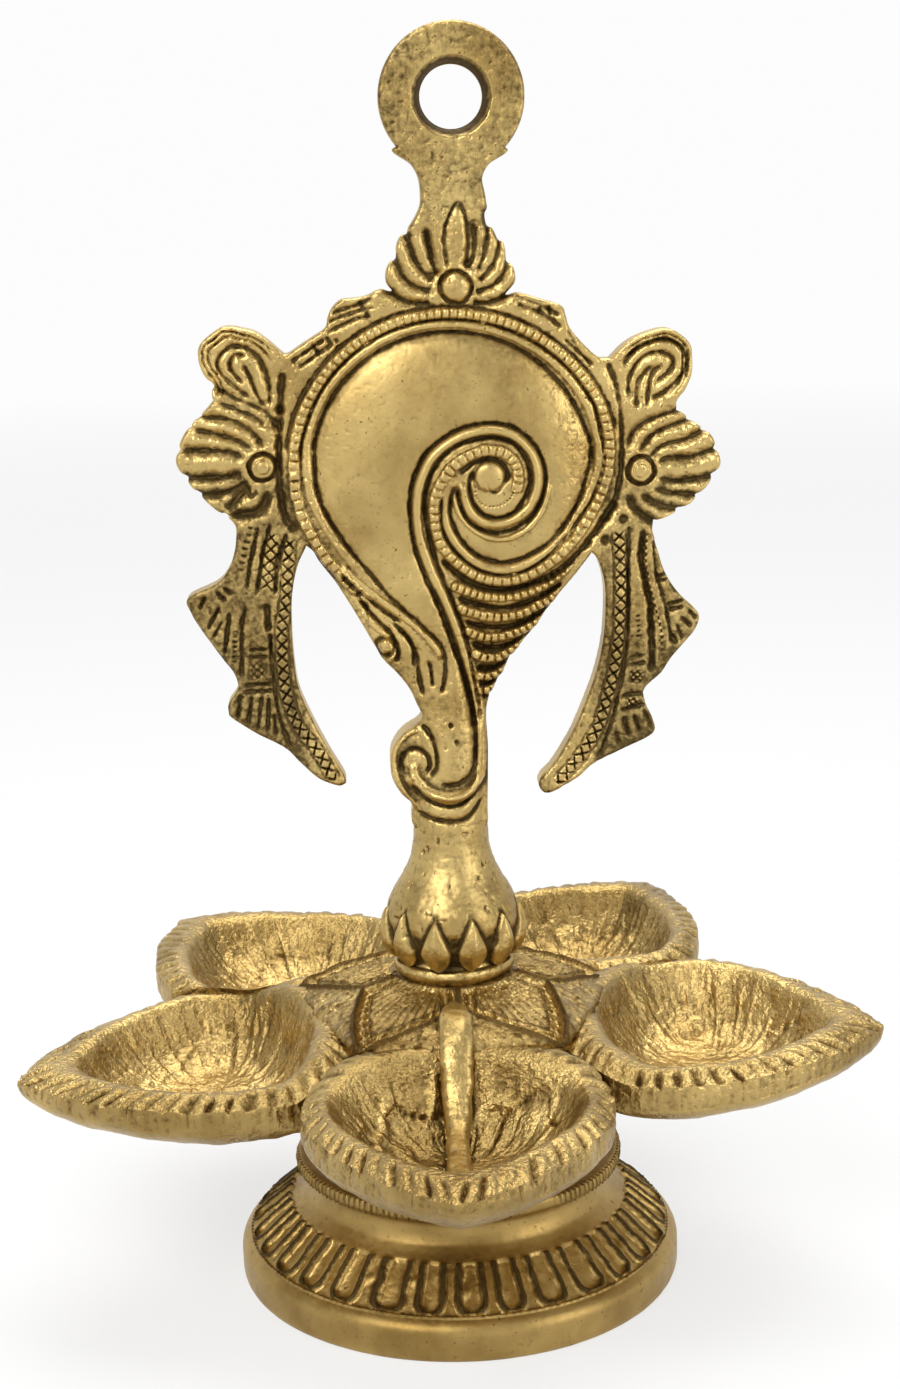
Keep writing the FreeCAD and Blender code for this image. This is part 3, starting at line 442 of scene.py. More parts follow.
LEFT_WING = (
    (-0.80, 0.50), (-0.95, 0.62), (-1.116, 0.771), (-1.22, 0.845), (-1.306, 0.868), (-1.38, 0.88),
    (-1.448, 0.864), (-1.561, 0.772), (-1.576, 0.679), (-1.547, 0.587), (-1.499, 0.512), (-1.507, 0.40),
    (-1.596, 0.307), (-1.673, 0.214), (-1.713, 0.12), (-1.728, 0.026), (-1.674, -0.069), (-1.601, -0.164),
    (-1.496, -0.26), (-1.372, -0.356), (-1.361, -0.452), (-1.376, -0.548), (-1.409, -0.644),
    (-1.487, -0.74), (-1.673, -0.835), (-1.656, -0.932), (-1.601, -1.03), (-1.533, -1.128),
    (-1.465, -1.227), (-1.391, -1.326), (-1.367, -1.425), (-1.426, -1.523), (-1.43, -1.58),
    (-1.409, -1.623), (-1.257, -1.724), (-1.071, -1.825), (-0.969, -1.927), (-0.86, -2.028),
    (-0.76, -2.075), (-0.698, -2.08), (-0.679, -2.03), (-0.793, -1.828), (-0.895, -1.627),
    (-0.976, -1.428), (-1.005, -1.231), (-1.016, -1.035), (-1.013, -0.84), (-0.979, -0.646),
    (-0.92, -0.51), (-0.85, -0.35),
)
RIGHT_WING = (
    (0.80, 0.50), (0.95, 0.62), (1.098, 0.77), (1.22, 0.835), (1.352, 0.868), (1.44, 0.835),
    (1.511, 0.767), (1.526, 0.674), (1.523, 0.581), (1.487, 0.487), (1.432, 0.393), (1.524, 0.298),
    (1.653, 0.203), (1.701, 0.108), (1.723, 0.012), (1.674, -0.083), (1.60, -0.179), (1.494, -0.274),
    (1.31, -0.37), (1.312, -0.466), (1.34, -0.563), (1.374, -0.661), (1.428, -0.759), (1.508, -0.857),
    (1.608, -0.956), (1.591, -1.054), (1.516, -1.152), (1.434, -1.251), (1.371, -1.349), (1.269, -1.448),
    (1.277, -1.548), (1.325, -1.649), (1.328, -1.749), (1.146, -1.848), (0.951, -1.947), (0.835, -2.047),
    (0.659, -2.146), (0.593, -2.112), (0.599, -2.044), (0.683, -1.944), (0.798, -1.744), (0.88, -1.544),
    (0.948, -1.346), (0.99, -1.148), (1.004, -0.95), (0.996, -0.756), (0.95, -0.60), (0.85, -0.40),
)

# Raised and cut work on the plate, as lines of photograph pixels
AUREOLE_PIXEL = (449.7, 470.5)
SPINE = (
    (411.7, 764.7), (416.5, 780), (426.1, 789.6), (439.5, 794.4), (458.6, 794.4), (473.9, 787.7),
    (481.6, 774.3), (482.8, 751.3), (481.6, 720), (477.6, 696), (469.4, 665), (459, 634.7), (447, 604),
    (432.6, 573.5), (420.8, 543), (416.5, 514), (418.8, 487.8), (430.6, 459), (451, 441.5), (471.4, 432.5),
    (491.8, 430), (510.2, 434), (525, 444.5), (535.5, 459.5), (538.8, 477.6), (536.6, 494), (528, 510),
    (511.5, 521), (494, 524.6), (480.6, 521), (470, 510.6), (463.8, 496), (462.6, 481),
)
SPINE_LEFT = (
    (474.5, 730), (473.5, 714.3), (467.3, 685.7), (457.1, 657.1), (446.9, 628.6), (436.7, 602),
    (424.5, 575.5), (416, 551), (411.6, 526.5), (410.2, 503), (412.8, 481.6), (426, 453.1), (446.9, 435.7),
    (467.3, 426.6), (491.8, 423.6), (514.8, 428), (533.5, 443.9), (543.6, 463.3), (546.3, 479),
    (544.3, 492), (539.3, 506), (530.4, 518.4), (514.3, 529.4), (495.9, 533.4), (481.6, 530.2),
    (467.3, 520.4), (459.4, 502), (458.4, 487.8),
)
SPINE_RIGHT = (
    (480.5, 722), (479.6, 706.1), (475.5, 685.7), (471, 661.2), (463.3, 630.6), (453.1, 604.1),
    (440.8, 573.5), (431.7, 546.9), (426, 522.4), (424.8, 503), (428, 481.6), (440.4, 459.2),
    (457.1, 445.4), (477.6, 438.8), (495.9, 437.8), (514, 443.9), (526, 459.2), (530.6, 477.6),
    (528.4, 490), (522.4, 502.4), (514.3, 512.6), (502, 518), (489.8, 517.6), (479.6, 512.2), (471.6, 500),
    (469.4, 484), (474, 471),
)
COIL_OUTER = (
    (549.5, 484), (547.5, 498), (541.5, 512.5), (532.7, 525.5), (518.4, 535.7), (502, 539.8),
    (485.7, 536.9), (470.4, 527.5), (458.6, 512.2), (453.6, 494),
)
COIL_TOP = ((458.6, 474.6), (473.5, 463.3), (487.8, 459), (501, 463), (508.2, 474.5), (505.5, 483))
BEAD_LEFT = (
    (366.5, 601), (349.5, 585), (333.7, 568.4), (320.7, 551.9), (309.5, 534), (300.5, 512), (294.6, 488),
)
BEAD_SPIRAL = (
    (610.2, 436.7), (609.6, 467.3), (602, 493.9), (587.8, 522.4), (569.4, 546.9), (546.9, 565.3),
    (526.5, 576), (506.1, 580.6), (485.7, 578.6), (467.3, 570.4), (451, 557.1), (439.8, 540.8),
    (434.7, 522.4), (434, 502), (438.8, 485.7), (449, 469.4), (463.3, 457.6), (479.6, 450.6),
    (493.9, 449.2), (506.6, 453.6), (515, 463.5), (518.2, 475.5), (516.5, 487),
)
BAND_LEFT = ((357, 568.5), (338.4, 545), (320.4, 516.5), (309.6, 491))
BAND_SPIRAL = (
    (599.5, 440), (601, 457.1), (595.9, 481.6), (583.7, 508.2), (565.3, 534.7), (542.9, 555.1),
    (521, 566.3), (502, 569.4), (485.7, 566.3), (469.4, 557.6), (456, 541.8), (446.9, 524.4),
    (444.4, 506.1), (449, 488.8), (456.5, 476),
)
GUTTER_LEFT = (
    (441, 694), (444.6, 680), (445.4, 667), (442.4, 649.5), (435, 638.4), (426.1, 630.8), (415, 620.3),
    (403.1, 609.9), (389, 596.5), (371.5, 576), (347.9, 548.4), (328.6, 520.6), (317, 492),
)
GUTTER_SPIRAL = (
    (591.2, 441), (592, 460), (588.8, 474), (579.6, 502), (561.2, 532), (542.9, 548.4), (518.4, 559.6),
    (499, 562.4), (481.6, 557.6), (467.3, 547.4), (456, 531.6), (449.8, 514.3), (450.4, 498), (454.4, 485),
)
PARTING_SPIRAL = (
    (605, 450), (604.6, 468), (597, 491.8), (584.2, 514.6), (563.8, 540.4), (543, 560), (522.4, 571.6),
    (502.4, 575), (482, 571), (466, 561.4), (451.6, 547), (443, 531), (440.4, 514), (441.6, 496),
)
SHELL_UNDERCUT = (
    (618, 503), (604.1, 523), (589, 544), (573.5, 561.6), (555.1, 575.5), (532.7, 585), (514.3, 589.4),
    (498, 589.8), (481.6, 586.7), (465.3, 579.6), (451, 569), (441, 560),
)
DOTS = (
    (514.3, 489.8), (510.2, 499), (501, 505.4), (490.2, 507.1), (481.6, 504.1), (476, 496.4),
    (475.2, 487.8),
)
KNOB_CURL = ((487.2, 482), (489, 489.5), (495, 493.5), (502, 490.5))
BEAD_PITCHES = (2.0, 2.0, 1.9, 1.7, 1.55, 1.5, 1.5, 1.6, 1.75, 1.8, 1.8, 1.75, 1.7, 1.6, 1.3)
RIB_PITCHES = (1.35, 1.5, 1.3)
KNOB = (489.8, 476.6)
RIBS = (
    ((566, 571.5), (542.9, 585.7), (522.4, 593.9), (502, 596.9), (481.6, 594.9), (467.3, 589.8),
     (455.1, 585.7)),
    ((556, 597.5), (530.6, 611.2), (510.2, 616.3), (489.8, 616.3), (469.4, 611.2), (461.2, 608.2)),
    ((540, 623), (514.3, 634.7), (495.9, 637.8), (479.6, 635.7), (468.4, 631)),
    ((521, 646), (500, 657.8), (485.7, 658.2), (475.6, 654.1)),
    ((505, 670.5), (489.8, 677.6), (479.6, 676.6)),
    ((497, 688), (490.8, 691.4), (482.7, 691.4)),
)
RIB_GAPS = (
    ((562, 586), (542.9, 597.4), (522.4, 605.1), (502, 608.2), (481.6, 605.1), (467.3, 601), (458, 598)),
    ((548, 610.5), (530.6, 620.9), (514.3, 626.5), (493.9, 628.2), (477.6, 625.5), (465.3, 621.4)),
    ((530, 634.5), (512.2, 645.4), (498, 649), (483.7, 648), (472.5, 643.9)),
    ((514, 657.5), (498, 668.4), (487.8, 670.4), (477.6, 668.4)),
    ((501, 679.7), (487.8, 685.2), (480.6, 684.2)),
    ((494, 695.5), (487.8, 698.4), (481.6, 697.4)),
)
TRUNK_GROOVE = (
    (431.8, 588.7), (440, 606), (450.1, 632), (459.7, 660), (467.3, 688), (472.4, 714), (475.8, 735),
    (475.6, 758), (472, 773.2), (462.4, 781.8), (451, 784.7), (441, 783.8),
)
LIP = (
    (407, 776.2), (411.2, 783.8), (416.5, 789.6), (425.1, 794.4), (433.7, 797.2), (444.3, 799.1),
    (454.8, 799.1), (465.3, 795.7), (473.9, 789.6), (479.3, 781), (481.6, 770.4),
)
LIP_GROOVES = (
    ((410.8, 787.7), (420.4, 797.2), (431.8, 803), (447.1, 806.8), (456.7, 805.6), (466.3, 801.4),
     (475.8, 793.8), (482.3, 784.8)),
    ((416.5, 815.6), (435.7, 820.6), (454.8, 821.7), (470.1, 817.1), (483.5, 801.4)),
)
HOOK_EDGE = (
    (416.5, 811), (403.5, 796), (396.4, 782.5), (393.2, 767), (395, 749.5), (407, 734.8), (420, 728.5),
)
HOOK_GROOVES = (
    ((403.4, 776), (401, 764), (406.4, 754.6), (417.1, 751), (427.4, 756.4), (430, 767), (425, 774.3)),
    ((421, 727), (428.5, 733), (433.6, 743), (436.8, 755), (436.4, 768), (430, 777.5)),
)
SCROLL_EDGE = (
    (340, 565.7), (351.5, 577.6), (364.9, 588.7), (376.3, 597.7), (387.8, 605.9), (400.3, 614.3),
    (412.7, 623.1), (423.2, 633.1), (431.8, 642.3), (438.5, 651.4), (442.4, 659.5),
)
SCROLL_RIM = (
    (353.4, 594.4), (361, 608.8), (371.6, 623.1), (383, 633.7), (390.1, 641.3), (394, 651.8),
    (390.1, 661.4), (385.9, 659.5),
)
SCROLL_GROOVES = (
    ((391.7, 623.1), (402.2, 631.2), (410.8, 642.3), (416.5, 655.7), (418.8, 672.9), (420.4, 684.4),
     (424.2, 696.8)),
    ((397.4, 629.8), (407, 638.4), (412.7, 648), (415, 659.5), (414.2, 669)),
    ((428, 661.4), (430.7, 669), (432.2, 678.6), (433, 688.6)),
    ((354.3, 591.6), (363, 605), (374.4, 618.4), (385.9, 628.9), (395.5, 642.3), (398, 655.7),
     (395.1, 664.8)),
    ((340, 574.3), (351.5, 586.8), (363, 596.7), (376.3, 606.5), (389.7, 615.9), (401.2, 624.1)),
)
SCROLL_EYE = (385.9, 648)
TRUNK_PITS = ((451, 726.4), (456.7, 742.7))
CREST_BOSS = (456, 287.4)
CREST_GROOVES = (
    ((458.7, 200.6), (452.5, 209), (447, 221), (444.6, 232), (444.6, 249.4), (448.2, 268.9)),
    ((458.7, 200.6), (464, 212), (467.4, 226), (468.7, 245.1), (466, 268.9)),
    ((427, 234.4), (429.8, 249.4), (432.4, 262.5), (437, 275)),
    ((408.5, 240.7), (413.4, 256), (421, 269.5), (432.5, 280.5)),
    ((396.5, 262.5), (402.5, 276), (412.9, 285.4), (430.5, 291.5)),
    ((388.5, 290.5), (400.4, 299.3), (415.6, 304), (429.7, 304)),
    ((474.3, 227), (475, 242), (473.9, 256), (468, 268)),
    ((487.1, 222.1), (487.6, 240), (484.5, 256), (479, 270)),
    ((499.5, 237), (498.5, 251), (493.5, 265), (480.5, 281)),
    ((508.2, 262), (503.5, 275), (494, 285.5), (476.5, 292)),
    ((514.3, 289.5), (502, 298), (490, 302.6), (474, 303.6)),
)
LEFT_BOSS, RIGHT_BOSS = (262.5, 467.8), (641.8, 470.6)
LOOP_MIDDLES = ((233, 360), (663, 354))
LOBE_CURL = ((247, 489), (251, 498), (256, 493), (252, 489))
LEFT_FAN = (
    ((217.8, 389.7), (233.8, 399.3), (249.7, 405.7), (265.7, 413.6), (273.6, 424.8), (275.2, 434.4)),
    ((222.6, 405.7), (238.6, 412), (254.5, 418.4), (267.3, 429.6)),
    ((198.7, 418.4), (225.8, 420), (241.7, 426.4), (256.1, 437.6), (264.1, 450.3)),
    ((198.7, 431.2), (217.8, 436), (233.8, 440.7), (246.5, 447.1), (252.9, 453.5)),
    ((187.5, 451.9), (209.9, 451.9), (230.6, 453.5), (244.9, 459.9)),
    ((186, 479), (209.9, 479), (230.6, 477.4), (244.9, 472.6)),
    ((198.7, 495), (217.8, 495), (237, 488.6), (249.7, 480.6)),
    ((230.6, 506.1), (241.7, 495), (251.3, 485.4)),
    ((235.4, 515.7), (252.9, 514.1), (264.1, 504.5), (267.3, 490.2)),
)
RIGHT_FAN = (
    ((677.7, 412), (661.7, 416.8), (644.2, 424.8), (633, 436), (628.3, 450.3)),
    ((692, 420), (669.7, 428), (653.8, 436), (645.8, 445.5), (639.4, 453.5)),
    ((701.6, 432.8), (685.7, 440.7), (666.5, 445.5), (655.4, 453.5), (649, 459.9)),
    ((719.1, 448.7), (701.6, 455.1), (688.9, 458.3), (669.7, 458.3), (657, 464.7)),
    ((714.4, 475.8), (693.6, 480.6), (676.1, 482.2), (658.6, 479)),
    ((701.6, 496.5), (685.7, 495), (669.7, 493.4), (653.8, 488.6)),
    ((685.7, 510.9), (666.5, 507.7), (650.6, 501.3), (641, 493.4)),
    ((655.4, 522.1), (642.6, 515.7), (633, 504.5), (626.7, 493.4)),
)
LEFT_LOOPS = (
    ((268.9, 408.9), (268.9, 389.7), (264.1, 370.6), (254.5, 354.6), (241.7, 347.5), (229, 348.3),
     (219.4, 356.2), (216.2, 365.8), (222.6, 377), (237, 389.7), (249.7, 399.3)),
    ((241.7, 362.6), (249.7, 378.6), (256.1, 394.5), (264.1, 408.9)),
    ((246, 356), (234, 355.5), (229, 365.8), (233.8, 375.4), (243.3, 384.9)),
)
RIGHT_LOOPS = (
    ((623.5, 367.4), (634.6, 351.5), (650.6, 341.9), (666.5, 339.5), (680.9, 345.1), (687.3, 357.8),
     (685.7, 370.6), (676.1, 383.3), (664.9, 392.9), (652.2, 399.3)),
    ((629.9, 399.3), (629.9, 381.7), (636.2, 365.8), (649, 354.6), (663.3, 352.3), (672.9, 357.8),
     (674.5, 365.8), (668.1, 373.8), (658.6, 381.7), (653.8, 384.9)),
    ((663.3, 364.2), (653.8, 373.8), (650.6, 384.9), (649, 396.1), (647.4, 407.3)),
    ((637.8, 408.9), (637.8, 389.7), (642.6, 377), (653.8, 365.8)),
)
SIDE_GAPS = (
    ((283, 372), (280.5, 393), (279.5, 420), (278.5, 450), (279, 480), (281.5, 505), (288, 528)),
    ((608, 362), (615, 378), (620, 400), (622.5, 430), (623, 456), (620.5, 482), (614, 505), (604, 526)),
)
SIDE_PITS = ((292.8, 528.4), (279.5, 411), (606, 541), (624, 520))
LEFT_SASH = (
    ((257.8, 528.6), (253.3, 549), (249.2, 569.4), (246.5, 589.8)),
    ((270, 524.5), (263.9, 548), (259.4, 571.4), (256.7, 593.9)),
    ((286.3, 534.7), (280.8, 551), (276.1, 567.3), (275.1, 593.9)),
    ((245.5, 608.2), (241.8, 624.5), (241.4, 642.9), (241.4, 677.6)),
    ((270, 634.7), (271.4, 659.2), (274.1, 683.7), (275.7, 700), (278.2, 714.3), (283.9, 732.7),
     (290.4, 749)),
    ((248.6, 651.4), (266.9, 650.6)),
    ((248.2, 658.8), (266.9, 658.2)),
    ((243.9, 686.7), (272, 685.3)),
    ((243.9, 693.5), (272.4, 692.2)),
    ((240.4, 696.9), (237.3, 720.4)),
    ((251.6, 698), (247.6, 726.5)),
    ((261.4, 698), (257.8, 730.6)),
    ((268.4, 699), (267.6, 732.7)),
    ((274.1, 716.3), (276.1, 736.7)),
    ((204.7, 598), (199.6, 610.2)),
    ((219, 608.2), (207.8, 630.6)),
    ((222, 622.4), (212.9, 638.8)),
    ((229.2, 614.3), (224.1, 655.1)),
    ((215.9, 592.9), (225.1, 602)),
    ((222.7, 588.2), (231.2, 595.9)),
)
LEFT_SLOT = ((265.9, 604.1), (266.7, 614.3), (267.6, 624.5), (268, 633.7))
LEFT_PANEL = ((271.6, 532.7), (270.4, 551), (269.2, 571.4), (265.9, 592.9))
LEFT_PANEL_LOW = ((256.7, 661.2), (257.3, 671.4), (258.2, 682.7))
LEFT_NICKS = ((251.2, 525.5), (246.5, 542.9), (242.4, 561.2), (240, 575.5))
LEFT_COLUMN = ((235.7, 630.6), (234.9, 642.9), (234.3, 655.1), (233.9, 665.3))
LEFT_ZIGZAG = (
    (290.4, 538.8), (288.4, 559.2), (287.8, 581.6), (286.3, 602), (281.8, 628.6), (281.8, 646.9),
    (282.2, 663.3), (283.9, 679.6), (286.7, 695.9), (290.8, 710.2), (296.5, 724.5), (304.3, 735.7),
    (312.9, 745.9), (321, 758.2), (328.2, 770.4), (336.3, 783.7),
)
RIGHT_SASH = (
    ((630, 526.5), (629.4, 553.1), (629, 581.6), (629.4, 602), (629, 622.4), (627.8, 642.9),
     (625.5, 663.3), (622.9, 677.6), (619.8, 691.8), (616.1, 708.2), (611.6, 724.5), (599.4, 759.2)),
    ((654.5, 540.8), (655.1, 555.1), (656.5, 571.4), (660.6, 587.8), (665.1, 602), (669.2, 622.4),
     (672.9, 642.9)),
    ((657.6, 578), (668.8, 573.9)),
    ((659, 582.7), (669.2, 579.2)),
    ((667.1, 605.1), (684.7, 601.4)),
    ((668.8, 611.2), (685.5, 607.6)),
    ((631, 658.8), (646.3, 655.9)),
    ((631, 665.7), (646.3, 663.3)),
    ((622.2, 696.9), (646.3, 693.9)),
    ((621.4, 711.2), (645.5, 705.1)),
    ((615.7, 732.7), (620.2, 744.9)),
    ((624.3, 718.4), (630, 736.7)),
    ((634.5, 716.3), (640.6, 732.7)),
    ((644.3, 710.2), (652.9, 728.6)),
    ((689.2, 610.2), (697.8, 620)),
    ((682, 617.3), (691.6, 627.6)),
    ((677.3, 624.5), (683.5, 640.8)),
    ((672.9, 634.7), (677.3, 645.3)),
)
RIGHT_SLOT = (
    (644.3, 530.6), (642.9, 544.9), (642.2, 561.2), (646.3, 581.6), (650.4, 602), (652, 622.4),
    (652.7, 642.9), (652.9, 659.2), (652, 673.5),
)
RIGHT_PANEL = ((638.6, 669.4), (637.8, 677.6), (636.9, 685.7))
RIGHT_PANEL_LOW = ((635.1, 696.9), (633.7, 704.1), (632, 710.2))
RIGHT_SMALL_ZIGZAG = (
    (648.4, 532.7), (646.7, 551), (647.1, 567.3), (650.8, 585.7), (654.9, 604.1), (659, 618.4),
    (662.2, 632.7), (662.9, 655.1),
)
RIGHT_TICKS = ((638.2, 614.3), (639, 624.5), (639.8, 640.8))
RIGHT_ZIGZAG = (
    (619.8, 530.6), (620.4, 546.9), (620.8, 561.2), (621.6, 577.6), (621.8, 591.8), (621.4, 608.2),
    (620.8, 622.4), (619.6, 638.8), (617.8, 653.1), (615.1, 669.4), (611.6, 683.7), (608, 700),
    (603.5, 714.3), (598.8, 727.6), (593.3, 738.8), (585.5, 751.4), (576.9, 763.3), (566.7, 775.1),
    (556.5, 785.7),
)
SHOULDER_CUTS = (
    ((331.8, 313.6), (345.5, 308.9), (359.7, 304.2), (371.5, 298.3)),
    ((327.8, 323), (343.1, 316.4), (362, 310.5), (373.8, 307.7)),
    ((326.6, 333.7), (340.8, 325.9), (357.3, 318.8), (369.1, 316.7)),
    ((291.2, 363.1), (305.4, 352.5), (324.3, 339.6)),
    ((298.3, 368.3), (314.8, 356.5), (331.8, 345.7)),
    ((358.5, 301.3), (363.2, 310.3)),
    ((365.6, 310.8), (369.6, 319.3)),
    ((312.5, 345.2), (318.4, 355.1)),
    ((325.7, 336.7), (331.8, 346.2)),
    ((334.9, 338.4), (338.4, 344.7)),
    ((515.4, 295.9), (531.9, 301.8), (548.4, 308.9), (560.2, 315.5)),
    ((517.8, 304.2), (534.3, 310.1), (548.4, 317.1), (562.6, 328.2)),
    ((565, 339.6), (579.1, 351.8), (593.7, 366)),
    ((549.6, 304.2), (550.8, 316.4)),
    ((541.4, 305.6), (539, 314.5)),
    ((569.2, 330.1), (576.3, 346.2)),
)


class Relief:
    """Height of the plate's face over its middle plane, on a grid of (up, across)."""

    def __init__(self, step):
        self.step = step
        self.across = np.arange(*PLATE_ACROSS, step)
        self.up = np.arange(*PLATE_UP, step)
        self.shape = (len(self.up), len(self.across))
        self.height = np.zeros(self.shape)
        self.form = self.height
        self.polish = np.zeros(self.shape)
        across, up = np.meshgrid(self.across, self.up)
        place = np.stack([across, up, np.zeros_like(up)], -1)
        self.wobble = layers(place, (0.15, 1.9, 51), (0.10, 0.8, 52))
        self.uneven = 1 + layers(place, (0.35, 3.1, 53), (0.25, 1.1, 54))

    def window(self, line, reach):
        """Rows and columns of the grid within reach of a line."""
        low = ((line.min(axis=0) - reach - (self.across[0], self.up[0])) / self.step).astype(int)
        high = ((line.max(axis=0) + reach - (self.across[0], self.up[0])) / self.step).astype(int) + 2
        low = np.maximum(low, 0)
        return slice(low[1], min(high[1], self.shape[0])), slice(low[0], min(high[0], self.shape[1]))

    def near(self, line, reach):
        """Window about a line, with the distance to it, the length along it and its whole length."""
        rows, columns = self.window(line, reach)
        up, across = self.up[rows], self.across[columns]
        distance = np.full((len(up), len(across)), reach + 1.0)
        along = np.zeros_like(distance)
        run = 0.0
        for start, end in zip(line, line[1:]):
            step = end - start
            length = math.hypot(*step)
            if length < 1e-9:
                continue
            first = np.searchsorted(across, min(start[0], end[0]) - reach)
            last = np.searchsorted(across, max(start[0], end[0]) + reach)
            lower = np.searchsorted(up, min(start[1], end[1]) - reach)
            upper = np.searchsorted(up, max(start[1], end[1]) + reach)
            x = across[None, first:last] - start[0]
            y = up[lower:upper, None] - start[1]
            share = np.clip((x * step[0] + y * step[1]) / length ** 2, 0, 1)
            gap = np.hypot(x - share * step[0], y - share * step[1])
            block = distance[lower:upper, first:last]
            closer = gap < block
            block[closer] = gap[closer]
            along[lower:upper, first:last][closer] = (run + share * length)[closer]
            run += length
        return (rows, columns), distance + self.wobble[rows, columns], along, run

    def inside(self, outline):
        """Where the grid lies inside a closed outline."""
        flips = np.zeros((self.shape[0], self.shape[1] + 1), int)
        for (x1, y1), (x2, y2) in zip(outline, np.roll(outline, -1, axis=0)):
            if y1 == y2:
                continue
            first, last = np.searchsorted(self.up, sorted((y1, y2)))
            rows = np.arange(first, last)
            cross = x1 + (self.up[first:last] - y1) * (x2 - x1) / (y2 - y1)
            np.add.at(flips, (rows, np.searchsorted(self.across, cross)), 1)
        return np.cumsum(flips, axis=1)[:, :-1] % 2 == 1

    def depth(self, outline, reach):
        """Distance into a closed outline, negative outside, counted up to the reach."""
        (rows, columns), distance, _, _ = self.near(np.vstack([outline, outline[:1]]), reach)
        distance = np.clip(distance - self.wobble[rows, columns], 0, None)
        field = np.full(self.shape, -reach)
        field[rows, columns] = -np.minimum(distance, reach)
        return np.where(self.inside(outline), -field, field)

    def disc(self, centre, radius):
        """Distance into a circle, negative outside."""
        return radius - np.hypot(self.across[None, :] - centre[0], self.up[:, None] - centre[1])

    def work(self, steps):
        """Carve steps in turn: a method, its lines in pixels, their level, and the method's sizes."""
        for method, lines, level, *sizes in steps:
            for line in lines:
                method(spline(on_plate(line, level)), *sizes)

    def ridge(self, line, half, rise):
        """Rounded ridge along a line."""
        where, gap, along, length = self.near(line, half + 1.0)
        self.height[where] += rise * fade(along, length, -0.2, 1.5) * dome(gap, half)

    def groove(self, line, half, depth, soft=0.0, spread=1.5, taper=1.2):
        """Cut along a line; soft is how far the ground beside it rolls down into it."""
        where, gap, along, length = self.near(line, 3 * max(half, spread if soft else half))
        ends = fade(along, length, -0.3, taper)
        deep = depth * self.uneven[where] * bell(gap, half)
        self.height[where] -= ends * (deep + soft * bell(gap, spread))

    def bars(self, line, half, rise, pitches, slit, deep):
        """Row of square bars across a line, its pitch running through the given values."""
        where, gap, along, length = self.near(line, half + 0.3)
        steps = np.linspace(0, length, 2000)
        stations = np.linspace(0, 1, len(pitches))
        pitch_steps = np.interp(steps / length, stations, pitches)
        counts = np.concatenate([[0], np.cumsum(np.diff(steps) / pitch_steps[1:])])
        count = np.interp(along, steps, counts)
        count = count + 0.12 * noise(np.stack([along, 0 * along, 0 * along], -1), 2.2, 56)
        number = np.floor(count)
        pitch = np.interp(along / length, stations, pitches)
        apart = np.minimum(count - number, 1 - (count - number)) * pitch
        size = lot(number, 5, 9)
        across = np.clip(1 - (np.abs(gap) / half) ** 4.0, 0, 1) ** 0.6
        crown = 0.94 + 0.06 * np.cos(2 * math.pi * (count - number - 0.5))
        bar = crown * (0.85 + 0.3 * size) - deep * bell(apart, slit) * (0.6 + 0.6 * size)
        self.height[where] += rise * across * bar

    def zigzag(self, line, half, depth, pitch):
        """Slanting cuts across a line, in both directions, with a border cut along each side."""
        where, gap, along, length = self.near(line, half + 0.5)
        ends = fade(along, length, 0.0, 1.0)
        edge = smoothstep(half - gap, 0.1, 0.5) * ends
        for lean in (1, -1):
            cut = ((along + lean * gap) / pitch) % 1.0
            cut = bell((cut - 0.5) * pitch, 0.21)
            self.height[where] -= depth * edge * self.uneven[where] * cut
        self.height[where] -= 0.5 * depth * ends * bell(gap - half, 0.26)

    def ticks(self, line, half, depth, pitch):
        """Row of short cuts across a line."""
        where, gap, along, length = self.near(line, half + 0.2)
        ends = fade(along, length, 0.0, 0.6)
        cut = bell(((along / pitch) % 1.0 - 0.5) * pitch, 0.2)
        inside = smoothstep(half - gap, 0, 0.35) * ends
        self.height[where] -= depth * inside * self.uneven[where] * cut

    def boss(self, centre, radius, rise, ring=0.0, moat=0.8):
        """Round knob in a sunk ring, with a circle cut on it if asked."""
        gap = -self.disc(centre, 0.0) + self.wobble
        self.height += rise * dome(gap, radius)
        self.height -= moat * self.uneven * bell(gap - radius - 0.3, 0.38)
        if ring:
            self.height -= 0.3 * bell(gap - ring, 0.26)

    def nick(self, edge, line, half, deep):
        """Scallop a silhouette where a cut runs out over it."""
        where, gap, _, _ = self.near(line, 2.0)
        edge[where] -= deep * bell(gap, half) * (edge[where] < 2.0)

    def pit(self, centre, radius, deep):
        """Small round hollow."""
        gap = -self.disc(centre, 0.0)
        self.height -= deep * bell(gap, radius)


def reaching(line, extra):
    """Line carried on past its first point by extra pixels."""
    first, second = np.asarray(line[0], float), np.asarray(line[1], float)
    out = (first - second) / np.linalg.norm(first - second)
    return np.vstack([first + out * extra, line])


def shares(points, spacing=0.4):
    """Smooth closed outline on the plate from shares of the aureole's radius."""
    return spline(np.asarray(points) * UNIT + AUREOLE, spacing, closed=True)


def arc(left, right, tall, start, end):
    """Photograph pixels of an arc over the aureole's top, wider on one side than on the other."""
    angle = np.radians(np.linspace(start, end, 40))
    wide = np.where(np.cos(angle) < 0, left, right)
    middle_across, middle_up = AUREOLE_PIXEL
    return np.stack([middle_across + wide * np.cos(angle), middle_up - tall * np.sin(angle)], -1)


